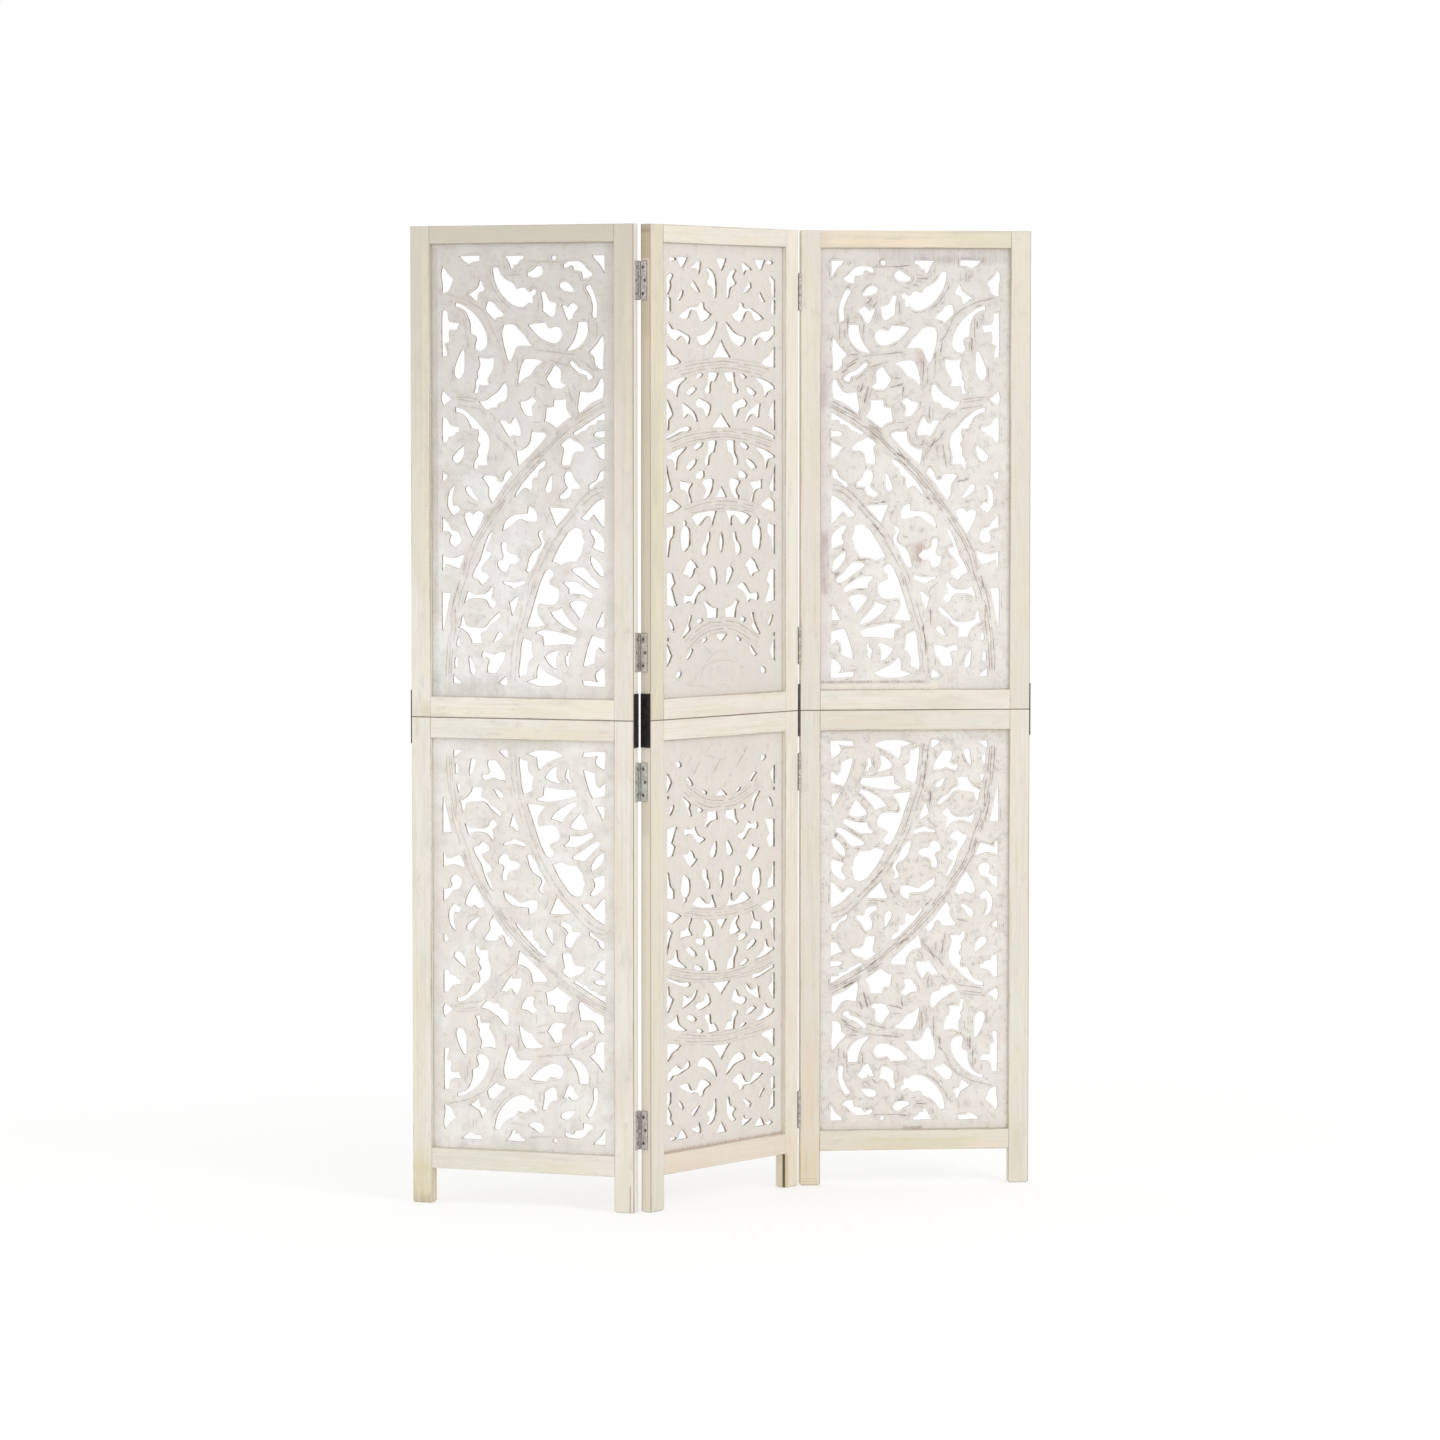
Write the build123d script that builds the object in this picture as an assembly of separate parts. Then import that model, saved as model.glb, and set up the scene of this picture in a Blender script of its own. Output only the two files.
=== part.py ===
from build123d import *
from math import atan2, cos, degrees, radians, sin
import os

# Carved jali folding screen: three hinged panels, each made of an upper and a
# lower frame that hold a pierced fretwork board in a groove.
# Millimetres, +Z up, standing on Z = 0, front of the screen toward -Y.

os.makedirs("parts", exist_ok=True)

# ----------------------------------------------------------------- dimensions
PANEL_W = 400.0          # width of one panel
PANEL_H = 1650.0         # height of the screen
PANEL_T = 21.0           # thickness of the frame members
SEAM_Z = 825.0           # where the upper frame stands on the lower frame

STILE_W = 35.0           # width of an upright
TOP_RAIL = 30.0          # height of the top rail of the upper frame
MID_RAIL = 35.0          # height of the rails on each side of the seam
FOOT_RAIL = 35.0         # height of the bottom rail of the lower frame
LEG_H = 60.0             # free length of the legs under the bottom rail

EDGE_CHAMFER = 1.0       # eased outer arrises
JOINT_CHAMFER = 0.4      # eased arrises at the joints and inner edges
FOOT_CHAMFER = 2.5       # worn bottom of the legs

FRET_T = 6.0             # thickness of the pierced board
GROOVE_D = 8.0           # depth of the groove in stiles and rails
TONGUE = 7.5             # how far the board sits in the groove
GROOVE_V = (PANEL_T - FRET_T) / 2.0

LEFT_ANGLE = -20.0       # plan direction of each panel, degrees from +X
CENTRE_ANGLE = 50.7
RIGHT_ANGLE = 5.5

HINGE_H = 63.5           # butt hinges
HINGE_PLATE_T = 1.2
HINGE_LEAF_W = 15.5      # from the hinge axis to the leaf's free edge
HINGE_E = 1.6            # axis beyond the edge face
HINGE_K = 2.0            # axis beyond the panel face
KNUCKLE_R = 2.4
KNUCKLES = 5
KNUCKLE_GAP = 0.3
PIN_R = 1.2
BORE_R = 1.3
LEFT_HINGE_Z = (1556.5, 938.5, 722.0, 138.0)
RIGHT_HINGE_Z = (1544.5, 937.0, 719.0, 133.0)

SCREW_R = 1.5            # wood screws
PILOT_R = 1.6
SCREW_L = 16.0
HEAD_R = 2.9

FOLD_T = 1.5             # mid-height fold hinge on every outer edge
FOLD_H = 45.0            # length of each leaf
FOLD_W = 20.0            # width of each leaf
LINK_W = 9.0
LINK_T = 0.75
PIVOT_Z = 6.0            # pivots above and below the seam
PIVOT_V = 15.0           # pivots from the front face
RIVET_R = 1.5

CORNER_TURN = 48.0       # a sharper turn than this stays a crisp corner, degrees

# ------------------------------------------------------- fretwork, side panels
# Openings of one side board: s across from the inner edge of the outer stile,
# t up from the rail beside the seam. The same outlines serve the four side
# boards, mirrored for the right panel and turned over for the lower boards.
SIDE_T_SHIFT = -1.0
SIDE_LOWER_SCALE = 0.920
SIDE_LOWER_TOP = 769.5   # height at which t = 23 lies on a lower board
SIDE_HOLES = [
    [(51, 740), (70, 740.5), (87, 740.5), (87, 732), (80, 731.5), (73, 730), (68, 727.5), (62, 729.5), (57, 733)],
    [(20.5, 723), (24, 719), (28, 713), (34, 707), (40.5, 701.5), (37, 696), (35, 690), (32, 684), (28, 681), (24, 679.5), (18.5, 679.5), (18.5, 700), (18.5, 719)],
    [(88, 700.5), (90.5, 698), (92, 693), (95, 688), (96, 684), (91, 681), (85.5, 679.5), (84, 675), (83, 669), (82, 665), (79, 666), (74, 670), (65.5, 675.5), (72, 680), (79, 684.5), (84, 690), (86, 696)],
    [(110, 719.5), (112, 706), (115, 695), (121, 683), (130, 671), (140, 662), (150, 656.5), (160, 654.5), (168, 656), (173, 660), (176, 662), (179, 659.5), (182, 661), (183, 667), (182, 672), (187.5, 676.5), (189, 681), (186, 684.5), (182, 684), (179, 681), (175, 680), (172, 682), (169, 686), (163, 687), (153, 685), (151, 689), (147, 694), (141, 697), (133, 701.5), (127, 707), (123, 714), (120, 720), (115, 721)],
    [(100.5, 663.5), (107, 664), (113, 661), (118, 655), (124, 649.5), (130.5, 641.5), (126, 639), (120, 638), (114.5, 632.5), (107, 639), (102, 644), (98, 649), (98, 655)],
    [(43, 662), (49, 661), (56, 658.5), (63, 654.5), (71, 649), (80, 641), (88, 631), (94, 621), (98.5, 611), (100.5, 602), (100, 593), (97, 587), (91, 583), (84, 582), (79, 584.5), (78, 590), (80, 597), (81, 604), (77, 608), (71.5, 610), (70, 616), (70, 624), (68, 633), (65, 641), (61, 647), (55, 652), (43, 656)],
    [(19, 650), (27, 649.5), (29, 644), (29.5, 637), (32, 631.5), (37, 629.5), (43, 629), (50.5, 627.5), (47, 622), (45, 615.5), (39, 617.5), (33, 617.5), (31, 613), (31.5, 605), (31.5, 597), (24, 594.5), (25.5, 587), (27.5, 580), (27, 573.5), (19, 573.5), (18.5, 600), (18.5, 630)],
    [(57.5, 585), (59, 580), (59.5, 570), (59.5, 556), (58.5, 547), (55, 540), (51.5, 536), (47, 535), (43, 537.5), (40.5, 543), (41, 552), (43.5, 561), (47, 570), (51, 578), (54, 583)],
    [(84.5, 572), (90, 570), (97, 568.5), (105, 569.5), (112.5, 571), (112.5, 562), (111, 553), (108, 546), (104, 540), (101.5, 534), (104, 525), (95, 524), (86, 525), (84.5, 519), (84.5, 511), (75.5, 512), (78, 518), (79.5, 525), (79, 531), (83, 537), (82, 545), (85, 552), (87, 560), (86, 566)],
    [(21, 516), (24, 511.5), (28, 507.5), (35.5, 502.5), (31, 498), (26, 494), (21, 490.5), (18.5, 495), (18.5, 512)],
    [(86, 497.5), (93, 498), (99, 500), (105, 504.5), (111, 508), (117, 512), (123, 519), (128, 525.5), (132, 528.5), (135, 524), (136.5, 516), (136, 507), (134, 501), (129, 497), (121, 494.5), (118.5, 490), (116, 485.5), (110, 487), (104, 485), (99, 483), (92, 488)],
    [(159, 496.5), (166, 497.5), (173, 500), (178, 504.5), (182, 503), (189, 497), (184, 493), (180.5, 487.5), (181.5, 480), (182.5, 473), (175, 472.5), (168, 475), (164, 481), (160.5, 488)],
    [(43, 487), (50, 486), (57, 483.5), (63, 480), (69, 475), (76, 469), (83, 462), (90, 454), (96, 448), (101, 442), (103.5, 435), (104.5, 427), (103.5, 419), (101, 411), (99.5, 404), (101.5, 391), (92, 390), (84, 390.5), (82, 386), (79, 382), (76, 384), (75.5, 390), (77, 397), (80, 402), (83, 406), (82, 412), (84, 419), (86.5, 426), (81, 432), (83, 438), (84, 446), (82, 450.5), (72, 452), (69, 457), (66, 464), (62, 470), (57, 474.5), (50, 478), (43, 480)],
    [(19, 470), (26, 469), (29.5, 464), (33, 458.5), (39, 455.5), (49.5, 455), (49, 446), (43, 445), (40, 440), (35, 438.5), (30, 437), (28.5, 432), (25.5, 428.5), (19, 429), (18.5, 450)],
    [(57, 424), (58.5, 418), (58, 411), (56, 404), (52, 398), (47, 394.5), (42, 394.5), (38, 398), (37, 403), (41, 409), (46, 414), (52, 419)],
    [(155.5, 525.5), (162, 531), (168, 536.5), (176, 540), (181, 545), (184.5, 550.5), (190, 556.5), (200, 563.5), (192, 566.5), (184, 568), (174, 568.5), (166.5, 567.5), (163, 561), (160, 554), (158, 546), (156, 536)],
    [(206, 535), (209, 540), (213, 545), (216, 550), (219, 555.5), (222.5, 557), (228, 554), (232, 549), (233, 542), (232.5, 534), (233, 529.5), (240.5, 524.5), (236, 519.5), (228, 518.5), (218, 519.5), (213.5, 523), (210, 529)],
    [(247, 562.5), (250.5, 565.5), (256, 561.5), (262, 556), (269, 551), (277, 548), (283, 544), (289, 538), (286, 534), (279, 533), (276.5, 540), (270, 542.5), (263, 545), (257, 550), (251, 556)],
    [(307, 606.5), (308.5, 600), (308.5, 575), (308.5, 550.5), (302, 550.5), (295.5, 555), (292, 562), (291.5, 569), (288, 574), (282.5, 578.5), (288, 584), (294, 590), (299, 596.5), (303, 602.5)],
    [(266, 513), (274, 513), (282, 512), (289, 514.5), (294, 520), (298.5, 527), (302, 534), (306, 536), (308.5, 530), (308.5, 515), (307.5, 504), (299, 499.5), (290, 496), (282, 490.5), (274, 484), (265, 477.5), (262.5, 485), (263.5, 496), (265, 506)],
    [(220, 499.5), (230, 500), (241.5, 500.5), (242, 492), (243, 484), (246.5, 478), (252, 471.5), (246, 469), (240, 465), (234, 460), (228, 455.5), (222.5, 452), (218, 457), (212, 461), (203, 464), (204.5, 471), (205.5, 479), (206, 487), (213, 487), (219, 489)],
    [(121, 465), (128, 465.5), (134, 464.5), (137, 461), (141, 460), (144.5, 464), (147, 469), (151, 470.5), (154, 465), (157, 459), (160, 450), (160.5, 440.5), (152, 440), (145, 440.5), (140, 436), (135.5, 442), (131, 449), (127, 456)],
    [(151.5, 415.5), (158, 415), (164, 417.5), (170, 421), (175, 427), (178, 434), (178.5, 441), (181, 447.5), (190, 445.5), (199, 445.5), (206.5, 441), (203, 435), (198, 429), (193, 423.5), (187, 417.5), (181, 411.5), (175, 405.5), (169, 400.5), (163, 395), (156, 389.5), (154.5, 398), (153, 406)],
    [(254, 444.5), (260, 448), (267, 452), (274, 457), (282, 462), (290, 467), (298, 472), (310.5, 479.5), (310.5, 466), (303, 466), (296.5, 465), (295, 458.5), (288, 458), (280.5, 454), (277, 449), (270, 447), (262, 442), (255, 442)],
    [(290.5, 441), (293, 445), (300, 447), (310.5, 449), (310.5, 437.5), (302, 437.5), (294, 438.5)],
    [(289, 420), (296, 421.5), (302, 424.5), (310.5, 427.5), (310.5, 400.5), (305, 401.5), (299, 405.5), (296, 411), (293, 416)],
    [(231.5, 424), (236, 429), (241, 433), (247, 436.5), (252, 434.5), (257, 431), (263, 429), (269, 425), (275, 415.5), (268, 413.5), (261, 413.5), (255.5, 410.5), (252.5, 405), (251, 398), (249, 392), (241, 390.5), (233.5, 391), (234, 400), (235.5, 408), (237, 416)],
    [(19, 364), (18.5, 376), (23, 376), (28.5, 371.5), (25, 367), (22, 363.5)],
    [(41, 355.5), (36, 353), (32, 348), (29, 340), (27.5, 330), (28.5, 320), (32, 312.5), (38, 306), (44, 309.5), (51, 315.5), (48, 320.5), (43.5, 323), (39, 321.5), (37, 327), (37, 336), (38, 344), (40, 350)],
    [(60.5, 353.5), (64, 355.5), (68.5, 354), (72, 349.5), (76, 343), (80, 337.5), (84.5, 332.5), (80, 331), (73, 334.5), (66, 340), (61, 346.5)],
    [(58, 307), (61, 310.5), (67, 311.5), (71, 310), (74, 307.5), (77, 311), (81, 313.5), (87, 313), (94, 308.5), (91.5, 301), (88.5, 294), (85, 287), (80, 278.5), (74, 269.5), (70, 275), (66, 283), (62, 290.5), (59, 299)],
    [(18.5, 303), (22, 299), (27, 294.5), (31, 290), (34, 284), (38, 281), (44, 279.5), (49, 275), (52, 268), (52, 261), (48, 256), (41, 253.5), (35, 255.5), (31.5, 260), (32, 267), (34.5, 272.5), (31, 276.5), (26, 279), (18.5, 279.5), (18.5, 292)],
    [(18.5, 239.5), (25, 236.5), (32, 234.5), (40, 234.5), (47, 237), (58, 239.5), (56, 232), (53, 225), (49.5, 217), (41, 218.5), (33, 221.5), (24, 223.5), (22.5, 213.5), (18.5, 213.5), (18.5, 226)],
    [(109, 280), (104, 276.5), (99, 267.5), (95, 258), (92, 249), (89, 240), (86, 231), (80.5, 222), (76, 213.5), (72, 204), (75, 200.5), (80, 199.5), (84, 196), (88.5, 189.5), (94, 193), (99, 197), (102, 202), (101.5, 207), (96, 210), (90, 212), (89, 216.5), (91, 222), (96, 227.5), (101, 232), (105, 237.5), (107, 243.5), (102, 246), (98, 247), (98, 252), (101, 258), (105, 266), (108, 273)],
    [(91, 370), (96, 372.5), (104, 373), (112, 372.5), (116.5, 370), (118, 364.5), (123, 362), (128, 365), (129.5, 371), (132, 377), (136, 381.5), (140.5, 383), (145.5, 375), (142, 371), (138, 366), (133.5, 361), (129, 356.5), (126, 351), (122, 345), (118, 339.5), (114, 334.5), (108.5, 326.5), (105, 333), (102, 340), (102.5, 347), (101.5, 354), (97, 361)],
    [(149.5, 338), (152, 345), (157, 352), (162, 360), (168, 366.5), (174, 373), (180, 379.5), (185, 384.5), (190, 390), (196, 395), (203.5, 398.5), (203.5, 391), (199, 386), (193.5, 383), (192, 377), (189.5, 371.5), (184, 369.5), (181, 365), (181, 357), (179.5, 350.5), (175, 347.5), (170.5, 352), (166, 353), (161, 348.5), (155.5, 342)],
    [(217, 376), (212, 371), (208.5, 364), (205.5, 357), (203.5, 350), (206, 344.5), (211, 344.5), (215, 348.5), (216.5, 357), (216.5, 367)],
    [(240, 378.5), (245, 380.5), (250.5, 379), (253.5, 375), (256, 369), (260, 363), (266.5, 357.5), (265.5, 351), (252.5, 351.5), (251, 345), (248, 338.5), (242, 335.5), (235, 333.5), (229.5, 335.5), (229, 340), (235, 344), (240, 348.5), (243.5, 354), (239.5, 360), (238, 366), (238, 373)],
    [(211, 319.5), (220, 320), (232, 319.5), (248.5, 319), (245, 312.5), (240, 306.5), (234, 300), (229, 293.5), (223.5, 289), (220, 297), (217.5, 304), (214, 312)],
    [(308.5, 382), (309, 374), (306.5, 366.5), (301, 364), (296, 360.5), (291, 356), (283, 349.5), (281.5, 354), (285, 360), (291, 363), (296, 367), (298.5, 373), (301.5, 378.5)],
    [(309.5, 336.5), (310.5, 330), (310.5, 310), (310.5, 288), (305, 290.5), (300, 296.5), (295, 303), (290, 309), (286.5, 305.5), (281, 298), (275, 299.5), (268.5, 302), (272.5, 307), (278, 312.5), (284, 319), (290, 325), (297, 330.5)],
    [(252, 284.5), (257, 286.5), (263.5, 286), (269, 283), (270.5, 276), (272, 269.5), (275.5, 262.5), (272, 257), (270.5, 250), (269, 243), (265, 238), (260.5, 230), (253, 230), (246, 229.5), (239, 227.5), (232, 224.5), (224, 227), (216, 229.5), (219.5, 237), (224, 246), (229, 255.5), (234, 263), (240, 272), (246, 280)],
    [(283.5, 283), (289, 284.5), (295, 282), (301, 277), (307, 270.5), (310, 262), (310, 253), (309, 244.5), (302, 247.5), (295, 250), (287.5, 254.5), (291, 261), (291.5, 267), (288, 273.5)],
    [(286, 239.5), (292, 236.5), (298, 231.5), (304, 225), (308, 216), (308.5, 206), (303.5, 206.5), (298, 210.5), (293, 216), (288, 223.5), (285, 231.5)],
    [(251, 215), (256, 219.5), (264, 220.5), (272, 221), (278, 216.5), (283.5, 210), (289, 203.5), (295.5, 197.5), (302, 191.5), (299.5, 185), (293, 186), (285, 190), (277, 196), (269, 202), (260, 208)],
    [(127.5, 280), (132, 283.5), (138, 286.5), (143.5, 290), (148.5, 294), (154, 298.5), (160, 300.5), (166, 298.5), (173, 296.5), (189, 297), (189.5, 304), (188.5, 311), (184.5, 316.5), (180, 320), (173.5, 322), (172, 310), (160, 309), (150, 308), (143, 305.5), (137, 301.5), (131.5, 296), (128.5, 288)],
    [(126, 261.5), (132.5, 261.5), (135, 257), (135, 250.5), (138, 245.5), (143, 242.5), (150, 242.5), (154, 238), (158.5, 233), (155, 228), (148, 225), (141, 225), (138, 221), (138, 215.5), (131, 211.5), (124, 214), (119.5, 219.5), (118, 225), (119, 231), (125, 232.5), (128, 237), (127, 243), (125, 250)],
    [(193, 280.5), (199.5, 284), (199.5, 277), (198.5, 271), (201, 267), (203, 261), (201, 255), (197.5, 248.5), (193, 242), (190, 235), (187, 227.5), (182.5, 220.5), (178, 214), (172, 211.5), (169, 215), (172, 223), (173.5, 231), (177, 239.5), (182, 246), (188, 250), (193.5, 254), (196.5, 260), (194, 268), (191.5, 274)],
    [(17.5, 175.5), (33.5, 175.5), (32, 167), (30, 159), (28.5, 150), (26.5, 142), (24.5, 132), (22, 121), (20, 111), (18, 112), (17.5, 140)],
    [(57.5, 157.5), (60, 166), (62, 173), (64, 178.5), (69, 177), (74, 174), (82, 173), (91, 174), (98, 177), (103, 182), (107, 188.5), (109.5, 182), (108.5, 174), (107, 167), (112, 164.5), (116, 159), (113, 153.5), (108.5, 150.5), (103.5, 153), (100.5, 159), (97, 164), (91, 166.5), (80, 166.5), (71, 166.5), (64, 163.5)],
    [(47.5, 117.5), (51, 122), (52, 130), (55, 138), (58, 131), (60, 122), (67, 119), (77, 118), (86, 117), (94, 118.5), (99, 122.5), (104, 129.5), (110, 135), (116, 140.5), (122, 144), (123, 138), (118, 131.5), (111, 126.5), (104, 122), (100, 115.5), (94, 111.5), (87.5, 108.5), (88.5, 101), (90, 91.5), (80, 91), (71.5, 91), (69.5, 98), (66, 104.5), (61, 110), (54, 115)],
    [(109, 94.5), (113, 99), (115.5, 105), (119, 109.5), (124, 111), (128.5, 107), (125, 101), (121, 97.5), (115, 94.5)],
    [(46.5, 102), (44, 94), (43, 87), (47, 84.5), (50.5, 88), (49, 95)],
    [(41, 67), (45.5, 67), (46.5, 58), (45.5, 49), (40.5, 49), (40, 58)],
    [(67, 70), (71, 64), (74.5, 57), (77.5, 49), (78, 42), (75, 38), (70, 39.5), (67.5, 47), (66.5, 56), (65.5, 64)],
    [(38.5, 38.5), (41.5, 34.5), (46, 30.5), (53, 24.5), (46, 23), (38, 23.5), (37.5, 31)],
    [(89.5, 74.5), (92.5, 78), (98, 76.5), (103, 75), (108, 73), (113, 74), (118, 76.5), (125, 77), (131.5, 80), (131, 71), (129, 63), (125, 56), (120, 49), (115.5, 42.5), (108, 41), (100.5, 41.5), (99, 48), (100, 55), (103, 62), (100, 66), (89.5, 67)],
    [(133.5, 37), (135.5, 31), (135, 22), (127, 21.5), (120, 25), (125, 30)],
    [(127, 196), (136, 195.5), (146, 194.5), (155, 195.5), (166, 199), (167.5, 193), (162, 189.5), (155, 187), (145, 184.5), (139, 188.5), (132, 190.5)],
    [(139, 162), (144, 163.5), (147.5, 167), (155.5, 170), (154.5, 162), (151.5, 154), (148.5, 146), (144.5, 138), (142.5, 146), (140.5, 155)],
    [(171, 120), (174, 131), (178, 142), (181, 152), (184, 162), (187.5, 173), (191, 184), (195, 195), (199, 204), (203, 212), (208, 217), (214, 216), (219.5, 210), (216.5, 203.5), (212, 198.5), (211.5, 193), (216, 190), (222, 187), (228.5, 182), (229, 173), (226.5, 165), (222, 159.5), (214, 157.5), (204, 157.5), (194, 159.5), (190, 156), (190, 147), (193, 138), (198, 130), (204, 123.5), (195, 121.5), (183, 120)],
    [(164.5, 102.5), (171, 99.5), (180, 95), (180, 86), (181, 77), (183.5, 69), (177, 65.5), (173.5, 60), (172, 51), (171, 40.5), (164, 38.5), (157, 35), (156, 45), (157, 56), (158.5, 68), (159.5, 80), (161, 92)],
    [(170.5, 28.5), (178, 31), (188, 34), (188.5, 44), (189.5, 51), (193, 57), (199, 50.5), (206, 44.5), (214, 40), (224, 35.5), (235.5, 30.5), (230, 26), (221, 22.5), (206, 21), (190, 21.5), (178, 25)],
    [(202.5, 70.5), (208, 75), (215, 78), (222, 80.5), (230.5, 79.5), (225.5, 73), (223, 66), (223.5, 59), (224.5, 50), (218, 52), (212, 56.5), (207, 62.5)],
    [(186.5, 110), (193, 113.5), (202, 115), (212, 114.5), (224, 112.5), (236, 110), (247, 107), (259.5, 103), (258, 97), (254, 91.5), (244, 91.5), (232, 91.5), (218, 90), (201, 88.5), (200, 97), (199, 104), (193, 107)],
    [(213, 146), (220, 147.5), (227, 150), (233, 153.5), (236.5, 146.5), (241, 140), (247, 132.5), (253, 125.5), (261, 119), (259, 114), (251, 115.5), (243, 119), (235, 123.5), (227, 129), (219, 136.5)],
    [(247, 160), (254, 164), (262, 165.5), (270, 164.5), (280, 160), (277, 153), (273.5, 145), (269.5, 137.5), (266, 133), (261.5, 138.5), (257, 145), (251, 152.5)],
    [(236, 193.5), (240, 197.5), (248, 196.5), (256, 196.5), (264, 193.5), (272, 189), (280, 183.5), (290, 175.5), (287, 168.5), (280, 170.5), (272, 174), (262, 176), (246, 176), (245.5, 184), (242, 189)],
    [(306.5, 147), (308.5, 139), (308.5, 121), (294.5, 121), (297, 127.5), (300.5, 134), (303.5, 141)],
    [(288, 107), (295, 105), (303, 103), (310.5, 101.5), (310.5, 79), (305.5, 81.5), (300.5, 87.5), (297, 84.5), (293.5, 77), (292.5, 69), (292, 60), (285, 58.5), (278, 55.5), (271.5, 56), (273.5, 65), (276, 75), (279, 85), (282, 94), (285, 101.5)],
    [(309.5, 54), (310.5, 45), (310.5, 21.5), (298, 21.5), (285, 22), (272, 23.5), (270, 31.5), (280, 31.5), (290, 30.5), (297, 29), (294, 35), (293, 41), (296.5, 47), (302, 51.5)],
    [(239, 71), (243.5, 73), (244.5, 79), (248, 81), (248.5, 74), (246.5, 67), (246.5, 60), (245.5, 53.5), (241.5, 55), (240, 62)],
    [(172, 711.5), (178, 714), (184, 718), (190, 722.5), (196, 722), (200.5, 717), (200, 710), (195, 705.5), (187, 703.5), (179, 704), (173, 706.5)],
    [(196.5, 678.5), (201, 681), (205, 678.5), (209, 670), (214, 663.5), (220, 662), (225.5, 659), (223.5, 651), (222.5, 643), (219, 638), (212, 639), (206, 643), (200, 648), (200, 658), (199, 667)],
    [(174, 624.5), (182, 626.5), (192, 627.5), (206, 629), (208.5, 622), (212, 619), (219, 621), (227, 621.5), (232.5, 617), (235.5, 609), (233, 601.5), (227.5, 596), (219, 594), (210, 596), (200, 600.5), (191, 606), (183, 614)],
    [(131, 625.5), (139, 626), (146, 625.5), (152, 623), (158, 616), (166, 609), (172, 601), (180.5, 590), (168, 590), (157, 589.5), (152, 586), (149, 579), (146, 572), (141, 563), (136, 569), (133.5, 578), (130.5, 588), (128.5, 597), (127, 607), (127.5, 617)],
    [(216, 738), (220, 739.5), (224.5, 738), (224, 733.5), (220, 731.5), (217, 733.5)],
    [(237, 724), (242, 728.5), (250, 730), (258, 730.5), (266, 729), (273, 724.5), (280, 717), (289, 710), (287, 705), (281, 702), (271, 701), (270.5, 707), (269.5, 713), (262, 714.5), (255, 716), (253.5, 721.5), (250, 723.5), (245, 720.5), (238, 719)],
    [(289, 739.5), (300, 739.5), (310.5, 739.5), (310.5, 725), (310.5, 710), (306, 717), (301, 725), (295, 731)],
    [(230, 689), (231, 693.5), (236, 696), (242, 696), (248, 692.5), (253, 687), (257.5, 679.5), (248, 679.5), (240, 681), (233, 684)],
    [(276, 686.5), (280, 690), (284.5, 690), (288, 685), (291, 679), (294, 671), (296.5, 662), (297.5, 652), (297, 644), (296, 634.5), (289, 637), (288, 643), (289, 652), (288, 661), (285.5, 669), (281.5, 677.5)],
    [(234, 656), (239, 657.5), (245, 653.5), (249, 659), (255, 660.5), (264.5, 653.5), (260, 648.5), (255.5, 642), (253.5, 635.5), (245, 632), (241, 639), (238, 647)],
    [(263, 628.5), (270, 629.5), (279.5, 628.5), (281, 620), (280.5, 611), (277, 602), (272, 594.5), (265, 588), (257, 584), (242.5, 581), (248, 588.5), (253.5, 596), (258, 605), (261, 614)],
    [(131, 739.5), (148, 740), (166, 740), (165.5, 734), (159, 731.5), (156, 727), (149.5, 725.5), (147.5, 718.5), (142.5, 720), (140, 727), (137, 733)],
]

# ----------------------------------------------------- fretwork, centre panel
# The centre boards are symmetrical about s = CENTRE_AXIS.
CENTRE_AXIS = 165.0
CENTRE_LOWER_SCALE = 0.908
CENTRE_LOWER_BASE = 115.2   # height at which t = 735 lies on a lower board
SMALL_HOLE = 75.0           # area below which an opening is one of the small dots
CENTRE_HOLES_ON_AXIS = [
    [(151, 737), (165, 738), (179, 737), (176, 730.5), (171.5, 723), (165, 715.5), (158.5, 723), (154, 730.5)],
    [(165, 601.5), (172, 591), (180, 581), (190.5, 570.5), (177, 570), (165, 570.5), (153, 570), (139.5, 570.5), (150, 581), (158, 591)],
    [(165, 477.5), (173, 469), (181, 461), (190.5, 452.5), (178, 452), (165, 452), (152, 452), (139.5, 452.5), (149, 461), (157, 469)],
    [(165, 354), (172, 346), (180, 335), (170, 334), (160, 334), (150, 335), (158, 346)],
    [(165, 278.5), (168.5, 271), (171, 262), (170.5, 252), (168, 244), (165, 240), (162, 244), (159.5, 252), (159, 262), (161.5, 271)],
    [(148.5, 103.5), (157, 103.5), (165, 104.5), (173, 103.5), (181.5, 103.5), (176, 98), (170, 93.5), (165, 91.5), (160, 93.5), (154, 98)],
]
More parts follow.
